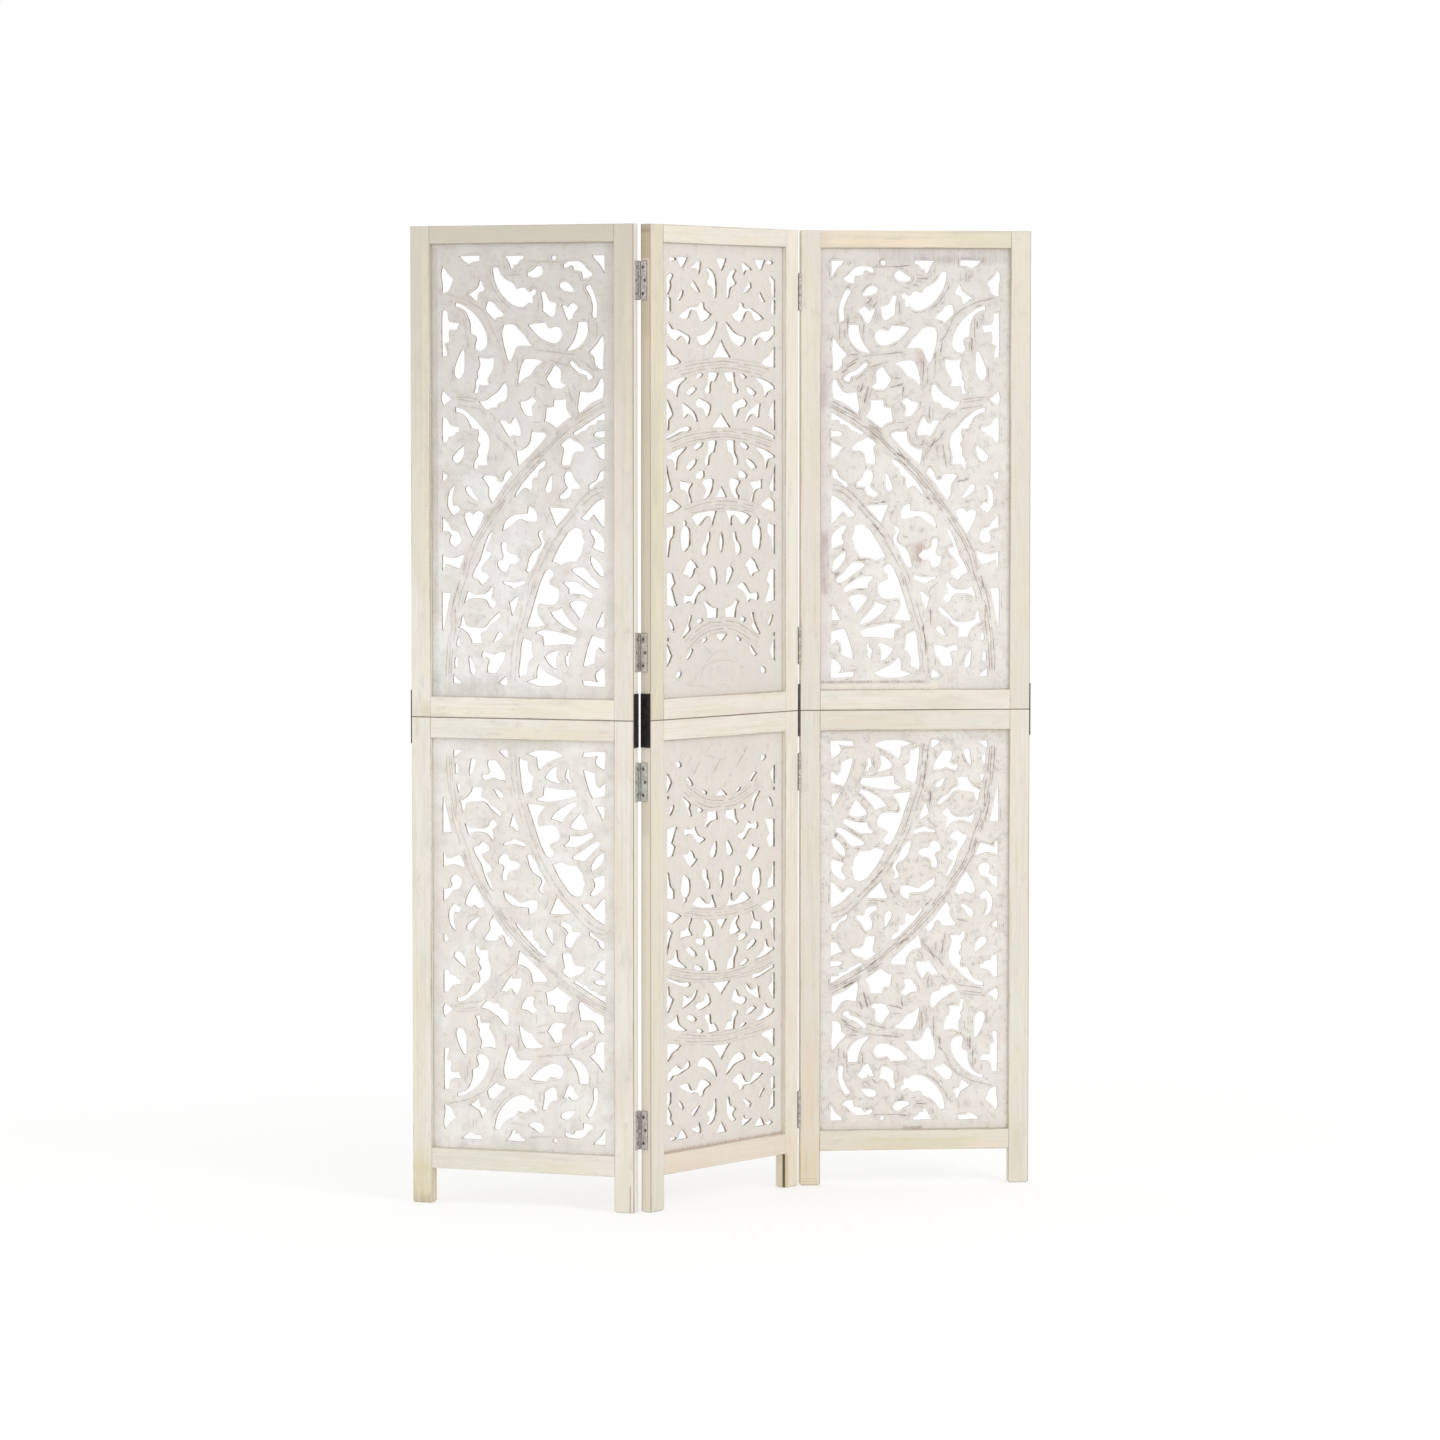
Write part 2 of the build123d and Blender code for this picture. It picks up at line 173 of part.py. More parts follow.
CENTRE_HOLES_PAIRED = [
    [(24, 733), (27, 736.5), (36, 736.5), (43, 735.5), (43.5, 731.5), (35, 730), (28, 730)],
    [(45, 737), (58, 737.5), (75, 737), (71, 730), (66, 723.5), (60, 719), (53, 723), (49, 730)],
    [(82, 720), (90, 725), (98, 729), (106, 731.5), (111, 730), (110, 722), (107.5, 714), (104, 708.5), (101.5, 715), (97, 719), (90, 719)],
    [(124, 717), (129, 720.5), (136, 719.5), (142, 715.5), (148, 709), (151.5, 700), (152.5, 690), (152.5, 680), (150.5, 669), (145, 670), (142.5, 677), (141, 685), (137, 690), (130, 692), (124, 698), (129.5, 702.5), (132, 707), (130, 712)],
    [(18, 704), (24, 707.5), (30, 710), (37, 707), (34, 702), (29, 696), (31, 690), (30, 684.5), (26, 678), (22, 672.5), (18, 674), (18, 690)],
    [(18, 669), (24, 670.5), (29.5, 667.5), (30, 660), (30, 645.5), (18, 645.5), (18, 657)],
    [(45, 667), (51, 672.5), (55, 678), (59, 683), (64, 681.5), (62.5, 675), (58, 669), (52, 664)],
    [(82, 691.5), (84.5, 698), (91, 697.5), (97, 692), (102.5, 686), (108.5, 679), (101, 679.5), (94, 682.5), (87, 687)],
    [(48, 636.5), (54, 641), (62, 645.5), (72, 650), (84, 654.5), (97, 654.5), (104, 656.5), (106.5, 662.5), (113, 664), (119.5, 661), (121, 653.5), (128, 648), (139.5, 643), (134, 637.5), (126, 633), (116, 630), (108, 632.5), (103, 639), (98.5, 646.5), (90, 650), (83, 646.5), (79, 639), (73, 634), (64, 633.5), (55, 635)],
    [(18, 624), (24, 626), (30, 623), (35, 617.5), (46, 616.5), (58, 613.5), (70, 609), (80, 605.5), (83.5, 600), (80, 591.5), (74, 591.5), (70, 597), (65, 603), (58, 605.5), (52, 601.5), (46, 598), (38, 599), (29, 603), (22, 609), (18, 611)],
    [(98, 605), (108, 607), (118, 609), (127.5, 613), (136.5, 619), (144, 625), (155, 632), (153.5, 623), (148.5, 613), (142, 603.5), (134, 596), (124, 591), (113, 589.5), (105, 592.5), (99.5, 598)],
    [(18, 591), (24, 586.5), (30, 580.5), (35, 574.5), (44, 570), (57, 561), (48, 557.5), (37, 555.5), (18, 554), (18, 572)],
    [(18, 521.5), (28, 528), (41, 532.5), (55, 536), (73, 536.5), (66, 531), (57, 526), (52, 519.5), (49.5, 511), (47, 503), (41.5, 505.5), (37.5, 511), (32, 514.5), (18, 517)],
    [(96, 537.5), (103, 542), (110, 544), (116.5, 541.5), (111, 537), (103, 535)],
    [(118, 516), (123, 521), (127, 528), (128.5, 537), (130, 546), (142, 546.5), (158.5, 545), (154, 537), (148, 530.5), (140.5, 530.5), (137, 526), (136.5, 517), (134.5, 509.5), (120, 509)],
    [(69, 511), (76, 515.5), (84, 519.5), (92, 521), (99, 518), (94.5, 512.5), (87, 508.5), (77, 505)],
    [(94, 492.5), (99, 499.5), (107, 501.5), (116, 499.5), (125, 496.5), (133, 493.5), (138.5, 488), (136, 479.5), (131.5, 471.5), (124, 470), (120, 476), (116.5, 483), (109, 486), (100, 487.5)],
    [(57, 494), (66, 492.5), (74, 489.5), (81, 485.5), (89, 481), (96, 475.5), (100, 469), (102.5, 462), (96, 462), (90, 468), (84, 473.5), (77, 475.5), (72, 471.5), (66, 468), (60.5, 471), (60, 479), (58.5, 487)],
    [(18, 500), (23, 498), (28, 491), (33, 483), (37.5, 474.5), (32, 469.5), (26, 465), (25.5, 456), (24, 447), (18, 447), (18, 475)],
    [(18, 438), (29, 441.5), (41, 446), (53, 450.5), (65, 453.5), (77, 455), (85, 452), (80, 447), (70, 446), (58, 445), (46, 441), (34, 437), (18, 431.5)],
    [(89.5, 418.5), (97, 424.5), (106, 427.5), (116.5, 427), (113, 421.5), (105, 417.5), (96, 413.5)],
    [(119, 395), (122, 402.5), (126.5, 409), (128.5, 419), (129, 431), (140, 432), (153, 431), (150.5, 421), (147, 411.5), (140, 409), (135.5, 405), (133, 397), (130.5, 388.5), (121, 388)],
    [(18, 404.5), (28, 408.5), (40, 413.5), (53, 417), (73, 420.5), (67, 414.5), (59, 409), (52, 403.5), (48.5, 396), (47.5, 388), (45, 380.5), (40, 382.5), (38.5, 390), (35, 397), (27, 400), (18, 401)],
    [(68, 384), (76, 391.5), (84, 396.5), (91, 399.5), (99.5, 398.5), (97, 392), (89, 385.5), (80.5, 380)],
    [(18, 391), (22, 381), (25, 370), (29, 359.5), (34.5, 349), (29, 343.5), (18, 343.5), (18, 367)],
    [(94, 371), (100, 376.5), (108, 379.5), (119.5, 379), (120.5, 371), (115, 367), (106, 366), (97, 365.5)],
    [(112.5, 361), (120, 365), (129, 367), (144, 366), (144.5, 357), (141, 347.5), (135, 338.5), (127, 333), (116, 330.5), (116, 336.5), (121, 341), (122.5, 347), (119, 353)],
    [(54, 365), (65, 362.5), (77, 361), (88, 360), (85, 354.5), (80.5, 349), (80.5, 341), (84, 334), (87, 325.5), (80.5, 325), (76.5, 333), (73.5, 342), (67, 347), (54, 347.5), (53, 356)],
    [(18, 308), (18, 325), (24, 330), (31, 333.5), (39, 331.5), (48, 326.5), (58, 321), (50, 315.5), (39, 312), (28, 309.5)],
    [(83, 300.5), (93, 306), (106, 309.5), (121, 311), (137, 312.5), (153.5, 312.5), (150.5, 305), (146, 296), (143, 286.5), (137.5, 287), (138, 295), (136, 302.5), (129, 303.5), (122, 299.5), (114, 292.5), (104, 287.5), (96.5, 289.5), (90, 296)],
    [(60, 292), (62.5, 298.5), (69, 298.5), (72.5, 292.5), (69.5, 288.5), (76, 286.5), (80.5, 281), (82.5, 272), (82, 261), (80, 252.5), (74, 247.5), (67, 243.5), (60, 245.5), (57.5, 252), (55.5, 262), (55, 273), (58, 282), (63.5, 287.5)],
    [(18, 286), (24, 287.5), (31, 289), (39.5, 288.5), (39.5, 279), (37, 270), (31.5, 266), (28, 257), (26, 247), (23.5, 235.5), (18, 235.5), (18, 260)],
    [(122, 262), (124, 270), (127.5, 277), (134.5, 277.5), (136, 269.5), (134, 262), (129.5, 256), (128.5, 247.5), (127.5, 239), (121, 236), (113, 238), (110.5, 245), (112.5, 252), (117, 257.5)],
    [(77, 228.5), (84, 232), (91, 228), (98, 222.5), (102.5, 217), (94, 213.5), (91.5, 207.5), (86, 201), (78.5, 199), (75, 204), (68, 206), (60, 208), (65, 214), (68.5, 220)],
    [(132, 211), (137, 217), (143.5, 219), (149.5, 215), (153, 207), (154, 197), (152.5, 186.5), (146.5, 187), (142, 193.5), (136.5, 201)],
    [(18, 210.5), (26, 211), (35, 209.5), (38.5, 201), (42.5, 192), (38, 188), (33, 184), (36.5, 177), (40, 168), (47.5, 154), (38, 152), (28, 153.5), (18, 155.5), (18, 182)],
    [(62, 165.5), (65.5, 171.5), (73, 171), (81, 169.5), (88, 172.5), (93, 179), (99, 185.5), (106, 190.5), (114, 188.5), (123.5, 183.5), (118, 179), (110, 176.5), (104, 172), (99, 165.5), (96, 156.5), (89, 156), (84, 160), (74, 158.5), (64, 158)],
    [(116, 157), (125, 161.5), (130, 156), (137, 151.5), (145, 148.5), (156, 147.5), (155.5, 139), (154.5, 131), (141, 130.5), (126.5, 129.5), (125.5, 137), (124, 145), (121, 151)],
    [(22.5, 132), (29, 132), (34, 126), (38.5, 118.5), (37.5, 112), (31, 115), (26, 122)],
    [(58, 100.5), (64, 108), (69, 115), (73, 122), (76, 130), (78, 138.5), (86, 138), (84, 130), (80.5, 123), (83.5, 115), (79, 109.5), (72, 105), (64, 98.5)],
    [(98, 127), (105, 131), (112, 131.5), (116, 127.5), (110, 123), (102, 122)],
    [(111, 92), (117, 97), (124, 99.5), (127, 95), (121, 91), (114, 89.5)],
    [(18, 91), (23, 88), (28, 80), (33.5, 71), (29, 63), (23.5, 56), (18, 52), (18, 70)],
    [(18, 102.5), (25, 102), (24.5, 94.5), (18, 94)],
    [(67, 66), (74, 71), (79, 77), (84, 82), (89.5, 79.5), (86, 72.5), (80.5, 66.5), (74, 62)],
    [(42, 37), (47, 42.5), (53, 44.5), (58.5, 41.5), (56, 35.5), (50, 32.5), (44.5, 32.5)],
]


# -------------------------------------------------------------------- helpers
def turn(points, i):
    """Direction change at point i of a closed outline, degrees."""
    a, b, c = points[i - 1], points[i], points[(i + 1) % len(points)]
    d = degrees(atan2(c[1] - b[1], c[0] - b[0]) - atan2(b[1] - a[1], b[0] - a[0]))
    return abs((d + 180.0) % 360.0 - 180.0)


def outline(points):
    """Closed wire: smooth curves that meet in crisp corners."""
    n = len(points)
    pts = [Vector(p[0], p[1], 0) for p in points]
    corners = [i for i in range(n) if turn(points, i) > CORNER_TURN]
    if not corners:
        return Wire([Edge.make_spline(pts, periodic=True)])
    edges = []
    for k, i in enumerate(corners):
        j = corners[(k + 1) % len(corners)]
        span = (j - i) % n or n
        run = [pts[(i + m) % n] for m in range(span + 1)]
        edges.append(Edge.make_line(*run) if len(run) == 2 else Edge.make_spline(run))
    return Wire(edges)


def block(u0, u1, v0, v1, z0, z1):
    """Box between the given limits in a panel's own frame."""
    return Box(u1 - u0, v1 - v0, z1 - z0, align=(Align.MIN,) * 3).moved(Location((u0, v0, z0)))


def eased_block(u0, u1, v0, v1, z0, z1, left, right, bottom, top):
    """Block with eased arrises: the long ones by side, the end ones by end."""
    def cut(points, depth, way):
        return extrude(Face(Wire.make_polygon(points, close=True)), depth, dir=way)

    plan = cut([(u0 + left, v0, z0), (u1 - right, v0, z0), (u1, v0 + right, z0), (u1, v1 - right, z0),
                (u1 - right, v1, z0), (u0 + left, v1, z0), (u0, v1 - left, z0), (u0, v0 + left, z0)],
               z1 - z0, (0, 0, 1))
    front = cut([(u0 + bottom, v0, z0), (u1 - bottom, v0, z0), (u1, v0, z0 + bottom), (u1, v0, z1 - top),
                 (u1 - top, v0, z1), (u0 + top, v0, z1), (u0, v0, z1 - top), (u0, v0, z0 + bottom)],
                v1 - v0, (0, 1, 0))
    side = cut([(u0, v0 + bottom, z0), (u0, v1 - bottom, z0), (u0, v1, z0 + bottom), (u0, v1, z1 - top),
                (u0, v1 - top, z1), (u0, v0 + top, z1), (u0, v0, z1 - top), (u0, v0, z0 + bottom)],
               u1 - u0, (1, 0, 0))
    return plan & front & side


def panel_location(origin, angle):
    return Location(Plane(origin=(origin[0], origin[1], 0),
                          x_dir=(cos(radians(angle)), sin(radians(angle)), 0),
                          z_dir=(0, 0, 1)))


def write(name, solids, location):
    solids = solids if isinstance(solids, list) else [solids]
    placed = [s.moved(location) for s in solids]
    shape = placed[0] if len(placed) == 1 else Compound(children=placed)
    shape.label = name
    export_step(shape, f"parts/{name}.step")
    return placed


# --------------------------------------------------------------- frame pieces
def stile(right, z0, z1, legs, holes):
    """Upright with the board groove on its inner edge and screw pilots in its
    outer edge. holes lists (v, z) of the pilots."""
    u0, u1 = (PANEL_W - STILE_W, PANEL_W) if right else (0.0, STILE_W)
    s = eased_block(u0, u1, 0, PANEL_T, z0, z1,
                    JOINT_CHAMFER if right else EDGE_CHAMFER, EDGE_CHAMFER if right else JOINT_CHAMFER,
                    FOOT_CHAMFER if legs else JOINT_CHAMFER, JOINT_CHAMFER if legs else EDGE_CHAMFER)
    groove0 = LEG_H if legs else z0 - 1
    inner0, inner1 = (u0, u0 + GROOVE_D) if right else (u1 - GROOVE_D, u1)
    s -= block(inner0 - (1 if right else 0), inner1 + (0 if right else 1),
               GROOVE_V, GROOVE_V + FRET_T, groove0, z1 + 1)
    for v, z in holes:
        bore = Cylinder(PILOT_R, SCREW_L + 1, rotation=(0, 90, 0),
                        align=(Align.CENTER, Align.CENTER, Align.MIN))
        s -= bore.moved(Location((u1 - SCREW_L - 1 if right else u0, v, z)))
    return s.solids()[0]


def rail(z0, z1, groove_up):
    """Cross member between the stiles, with a stub tenon at each end and the
    board groove along the edge that faces the opening."""
    r = block(STILE_W, PANEL_W - STILE_W, 0, PANEL_T, z0, z1)
    r = chamfer(r.edges().filter_by(Axis.X), JOINT_CHAMFER)
    r += block(STILE_W - GROOVE_D, PANEL_W - STILE_W + GROOVE_D,
               GROOVE_V, GROOVE_V + FRET_T, z0, z1)
    g0, g1 = (z1 - GROOVE_D, z1 + 1) if groove_up else (z0 - 1, z0 + GROOVE_D)
    r -= block(0, PANEL_W, GROOVE_V, GROOVE_V + FRET_T, g0, g1)
    return r.solids()[0]


def fret_board(z0, z1, loops):
    """Pierced board with its tongue all round; loops are in (u, z)."""
    u0, u1 = STILE_W - TONGUE, PANEL_W - STILE_W + TONGUE
    z0, z1 = z0 - TONGUE, z1 + TONGUE
    rim = Wire.make_polygon([(u0, z0), (u1, z0), (u1, z1), (u0, z1)], close=True)
    board = extrude(Face(rim, [outline(p) for p in loops]), FRET_T, dir=(0, 0, 1))
    solid = board.solids()[0]
    # the sketch (x, y) becomes (u, z); its thickness runs from front to back
    return solid.rotate(Axis.X, 90).moved(Location((0, GROOVE_V + FRET_T, 0)))


# ------------------------------------------------------------------- hardware
def wood_screw(plate_t):
    """Countersunk slotted screw, head face at 0, shank toward -X."""
    profile = Polyline((0, -0.05), (HEAD_R - 0.1, -0.05), (SCREW_R, -plate_t), (SCREW_R, -SCREW_L + 3),
                       (0, -SCREW_L), (0, -0.05))
    body = revolve(Plane.XZ * make_face(profile), Axis.Z)
    body -= Box(0.7, 8, 0.7, align=(Align.CENTER, Align.CENTER, Align.MAX))
    return body.solids()[0].rotate(Axis.Y, 90)


def screw_row(side, plate_t, places):
    """Screws into an edge face. side +1 is the right edge, -1 the left."""
    out = []
    for v, z in places:
        s = wood_screw(plate_t)
        if side < 0:
            s = s.mirror(Plane.YZ)
        x = PANEL_W + plate_t if side > 0 else -plate_t
        out.append(s.moved(Location((x, v, z))))
    return out


def hinge_screw_places(back, centres):
    """(v, z) of the three screws of each butt hinge leaf."""
    places = []
    for zc in centres:
        for dz, reach in ((-22.0, 7.6), (0.0, 11.6), (22.0, 7.6)):
            v = PANEL_T + HINGE_K - reach if back else -HINGE_K + reach
            places.append((v, zc + dz))
    return places


def hinge_leaf(side, back, zc, first):
    """Half of a butt hinge on an edge face, its knuckles beyond the face.
    first tells whether this leaf owns the outer knuckles."""
    x0, x1 = (PANEL_W, PANEL_W + HINGE_PLATE_T) if side > 0 else (-HINGE_PLATE_T, 0.0)
    axis_u = PANEL_W + HINGE_E if side > 0 else -HINGE_E
    axis_v = PANEL_T + HINGE_K if back else -HINGE_K
    v_free = axis_v - HINGE_LEAF_W if back else axis_v + HINGE_LEAF_W
    z0, z1 = zc - HINGE_H / 2, zc + HINGE_H / 2
    leaf = block(x0, x1, min(v_free, axis_v), max(v_free, axis_v), z0, z1)
    step = HINGE_H / KNUCKLES
    own = [k for k in range(KNUCKLES) if (k % 2 == 0) == first]
    at = Location((axis_u, axis_v, 0))
    for k in range(KNUCKLES):
        a, b = z0 + k * step, z0 + (k + 1) * step
        if k in own:
            lo = a + (KNUCKLE_GAP / 2 if k else 0)
            hi = b - (KNUCKLE_GAP / 2 if k < KNUCKLES - 1 else 0)
            leaf += Cylinder(KNUCKLE_R, hi - lo, align=(Align.CENTER, Align.CENTER, Align.MIN)).moved(
                at * Location((0, 0, lo)))
        else:
            lo = a - KNUCKLE_GAP / 2 - (1 if k == 0 else 0)
            hi = b + KNUCKLE_GAP / 2 + (1 if k == KNUCKLES - 1 else 0)
            leaf -= Cylinder(KNUCKLE_R + 0.35, hi - lo, align=(Align.CENTER, Align.CENTER, Align.MIN)).moved(
                at * Location((0, 0, lo)))
    leaf -= Cylinder(BORE_R, HINGE_H + 2, align=(Align.CENTER, Align.CENTER, Align.CENTER)).moved(
        at * Location((0, 0, zc)))
    for v, z in hinge_screw_places(back, [zc]):
        sink = Cone(SCREW_R + 0.1, HEAD_R + 0.05, HINGE_PLATE_T,
                    align=(Align.CENTER, Align.CENTER, Align.MIN)).rotate(Axis.Y, 90)
        if side < 0:
            sink = sink.mirror(Plane.YZ)
        leaf -= sink.moved(Location((PANEL_W if side > 0 else 0, v, z)))
    return leaf.solids()[0]


def hinge_pin(side, back, zc):
    """Pin with a low round head at each end."""
    at = Location((PANEL_W + HINGE_E if side > 0 else -HINGE_E,
                   PANEL_T + HINGE_K if back else -HINGE_K, zc))
    pin = Cylinder(PIN_R, HINGE_H + 0.2)
    for end in (1, -1):
        pin += Cylinder(2.0, 0.8).moved(Location((0, 0, end * (HINGE_H / 2 + 0.1 + 0.4))))
    return pin.moved(at)


def fold_screw_places():
    return [(PANEL_T / 2 + dv, SEAM_Z + end * dz)
            for end in (1, -1) for dv, dz in ((-4.0, 22.0), (3.0, 37.0))]


def fold_leaves(side):
    """Two leaves of a fold hinge on an edge face, one on each frame. Each has
    a half-thickness pocket for the link and two countersunk holes."""
    out = []
    v0 = (PANEL_T - FOLD_W) / 2
    for end in (1, -1):
        a, b = sorted((SEAM_Z + end * 0.15, SEAM_Z + end * FOLD_H))
        x0, x1 = (PANEL_W, PANEL_W + FOLD_T) if side > 0 else (-FOLD_T, 0.0)
        leaf = block(x0, x1, v0, v0 + FOLD_W, a, b)
        p0, p1 = (x1 - LINK_T - 0.02, x1 + 1) if side > 0 else (x0 - 1, x0 + LINK_T + 0.02)
        leaf -= block(p0, p1, PIVOT_V - LINK_W / 2 - 0.1, PIVOT_V + LINK_W / 2 + 0.1,
                      *sorted((SEAM_Z - end * 1, SEAM_Z + end * (PIVOT_Z + LINK_W / 2 + 0.3))))
        rivet = Cylinder(RIVET_R + 0.05, 6, rotation=(0, 90, 0))
        leaf -= rivet.moved(Location(((x0 + x1) / 2, PIVOT_V, SEAM_Z + end * PIVOT_Z)))
        for v, z in fold_screw_places():
            if (z - SEAM_Z) * end > 0:
                sink = Cone(SCREW_R + 0.1, HEAD_R + 0.05, FOLD_T,
                            align=(Align.CENTER, Align.CENTER, Align.MIN)).rotate(Axis.Y, 90)
                if side < 0:
                    sink = sink.mirror(Plane.YZ)
                leaf -= sink.moved(Location((PANEL_W if side > 0 else 0, v, z)))
        out.append(leaf.solids()[0])
    return out


def fold_link(side):
    """Short strap that spans the seam, lapped into both leaves."""
    x0, x1 = (PANEL_W + FOLD_T - LINK_T, PANEL_W + FOLD_T) if side > 0 else (-FOLD_T, -FOLD_T + LINK_T)
    link = block(x0, x1, PIVOT_V - LINK_W / 2, PIVOT_V + LINK_W / 2,
                 SEAM_Z - PIVOT_Z - LINK_W / 2, SEAM_Z + PIVOT_Z + LINK_W / 2)
    link = fillet(link.edges().filter_by(Axis.X), LINK_W / 2 - 0.1)
    for end in (1, -1):
        link -= Cylinder(RIVET_R + 0.05, 6, rotation=(0, 90, 0)).moved(
            Location(((x0 + x1) / 2, PIVOT_V, SEAM_Z + end * PIVOT_Z)))
    return link.solids()[0]


def fold_rivets(side):
    x0 = PANEL_W if side > 0 else -FOLD_T
    return [Cylinder(RIVET_R, FOLD_T, rotation=(0, 90, 0)).moved(
        Location((x0 + FOLD_T / 2, PIVOT_V, SEAM_Z + end * PIVOT_Z))) for end in (1, -1)]


# --------------------------------------------------------------- board layout
def side_loops(lower, mirrored):
    loops = []
    for hole in SIDE_HOLES:
        pts = []
        for s, t in hole:
            t += SIDE_T_SHIFT
            z = SIDE_LOWER_TOP - (t - 23.0) * SIDE_LOWER_SCALE if lower else SEAM_Z + MID_RAIL + t
            pts.append((PANEL_W - STILE_W - s if mirrored else STILE_W + s, z))
        loops.append(pts)
    return loops


def outline_area(hole):
    ring = hole[1:] + hole[:1]
    return abs(sum(a[0] * b[1] - b[0] * a[1] for a, b in zip(hole, ring))) / 2


def centre_loops(lower):
    """Each opening is drawn in about its own middle: the small dots a third, the others a few percent."""
    holes = list(CENTRE_HOLES_ON_AXIS)
    for hole in CENTRE_HOLES_PAIRED:
        holes.append(hole)
        holes.append([(2 * CENTRE_AXIS - s, t) for s, t in hole])
    small_scale, large_scale = (0.66, 0.93) if lower else (0.7, 0.96)
    loops = []
    for hole in holes:
        s_mid = (min(s for s, t in hole) + max(s for s, t in hole)) / 2
        t_mid = (min(t for s, t in hole) + max(t for s, t in hole)) / 2
        k = small_scale if outline_area(hole) < SMALL_HOLE else large_scale
        hole = [(s_mid + (s - s_mid) * k, t_mid + (t - t_mid) * k) for s, t in hole]
        loops.append([(STILE_W + s, CENTRE_LOWER_BASE + (735.0 - t) * CENTRE_LOWER_SCALE if lower
                       else SEAM_Z + MID_RAIL + t) for s, t in hole])
    return loops


# ------------------------------------------------------------------ placement
def direction(angle):
    return Vector(cos(radians(angle)), sin(radians(angle)), 0)


def back_normal(angle):
    return Vector(-sin(radians(angle)), cos(radians(angle)), 0)


d1, d2, d3 = (direction(a) for a in (LEFT_ANGLE, CENTRE_ANGLE, RIGHT_ANGLE))
n1, n2, n3 = (back_normal(a) for a in (LEFT_ANGLE, CENTRE_ANGLE, RIGHT_ANGLE))

O2 = Vector(0, 0, 0)
LEFT_AXIS = O2 - d2 * HINGE_E + n2 * (PANEL_T + HINGE_K)
O1 = LEFT_AXIS - d1 * (PANEL_W + HINGE_E) - n1 * (PANEL_T + HINGE_K)
RIGHT_AXIS = O2 + d2 * (PANEL_W + HINGE_E) - n2 * HINGE_K
O3 = RIGHT_AXIS + d3 * HINGE_E + n3 * HINGE_K

# the free edges carry fold hinge plates, which set the outline in plan
corners = []
for o, d, n, left_free, right_free in ((O1, d1, n1, True, False), (O2, d2, n2, False, False),
                                       (O3, d3, n3, False, True)):
    for u, v in ((0, EDGE_CHAMFER), (0, PANEL_T - EDGE_CHAMFER), (EDGE_CHAMFER, 0), (EDGE_CHAMFER, PANEL_T),
                 (PANEL_W, EDGE_CHAMFER), (PANEL_W, PANEL_T - EDGE_CHAMFER),
                 (PANEL_W - EDGE_CHAMFER, 0), (PANEL_W - EDGE_CHAMFER, PANEL_T)):
        corners.append(o + d * u + n * v)
    inset = (PANEL_T - FOLD_W) / 2
    for u in (-FOLD_T, PANEL_W + FOLD_T):
        for v in (inset, PANEL_T - inset):
            corners.append(o + d * u + n * v)
centre = Vector((min(c.X for c in corners) + max(c.X for c in corners)) / 2,
                (min(c.Y for c in corners) + max(c.Y for c in corners)) / 2, 0)
O1, O2, O3, LEFT_AXIS, RIGHT_AXIS = (p - centre for p in (O1, O2, O3, LEFT_AXIS, RIGHT_AXIS))

PANELS = {
    "left": (panel_location((O1.X, O1.Y), LEFT_ANGLE), None, (True, LEFT_HINGE_Z, "outer")),
    "centre": (panel_location((O2.X, O2.Y), CENTRE_ANGLE), (True, LEFT_HINGE_Z, "inner"),
               (False, RIGHT_HINGE_Z, "outer")),
    "right": (panel_location((O3.X, O3.Y), RIGHT_ANGLE), (False, RIGHT_HINGE_Z, "inner"), None),
}

everything = []
for name, (loc, left_hinges, right_hinges) in PANELS.items():
    pilots = {}
    screws = []
    for side, spec in ((-1, left_hinges), (1, right_hinges)):
        places = fold_screw_places()
        screws += screw_row(side, FOLD_T, places)
        if spec:
            hinge_places = hinge_screw_places(spec[0], spec[1])
            screws += screw_row(side, HINGE_PLATE_T, hinge_places)
            places = places + hinge_places
        pilots[side] = places

    def at(side, lo, hi):
        return [p for p in pilots[side] if lo < p[1] < hi]

    for half, z0, z1, legs in (("upper", SEAM_Z, PANEL_H, False), ("lower", 0.0, SEAM_Z, True)):
        everything += write(f"{name}_{half}_left_stile", stile(False, z0, z1, legs, at(-1, z0, z1)), loc)
        everything += write(f"{name}_{half}_right_stile", stile(True, z0, z1, legs, at(1, z0, z1)), loc)
    everything += write(f"{name}_upper_top_rail", rail(PANEL_H - TOP_RAIL, PANEL_H, False), loc)
    everything += write(f"{name}_upper_bottom_rail", rail(SEAM_Z, SEAM_Z + MID_RAIL, True), loc)
    everything += write(f"{name}_lower_top_rail", rail(SEAM_Z - MID_RAIL, SEAM_Z, False), loc)
    everything += write(f"{name}_lower_bottom_rail", rail(LEG_H, LEG_H + FOOT_RAIL, True), loc)

    for half, z0, z1 in (("upper", SEAM_Z + MID_RAIL, PANEL_H - TOP_RAIL),
                         ("lower", LEG_H + FOOT_RAIL, SEAM_Z - MID_RAIL)):
        lower = half == "lower"
        loops = centre_loops(lower) if name == "centre" else side_loops(lower, name == "right")
        everything += write(f"{name}_{half}_fret", fret_board(z0, z1, loops), loc)

    everything += write(f"{name}_fold_hinge_leaves", fold_leaves(-1) + fold_leaves(1), loc)
    everything += write(f"{name}_fold_hinge_links", [fold_link(-1), fold_link(1)], loc)
    everything += write(f"{name}_fold_hinge_rivets", fold_rivets(-1) + fold_rivets(1), loc)
    everything += write(f"{name}_hinge_screws", screws, loc)

    for side, spec in ((-1, left_hinges), (1, right_hinges)):
        if not spec:
            continue
        line = "left" if spec[1] is LEFT_HINGE_Z else "right"
        for k, zc in enumerate(spec[1], start=1):
            everything += write(f"{line}_hinge_{k}_{name}_leaf",
                                hinge_leaf(side, spec[0], zc, spec[2] == "outer"), loc)

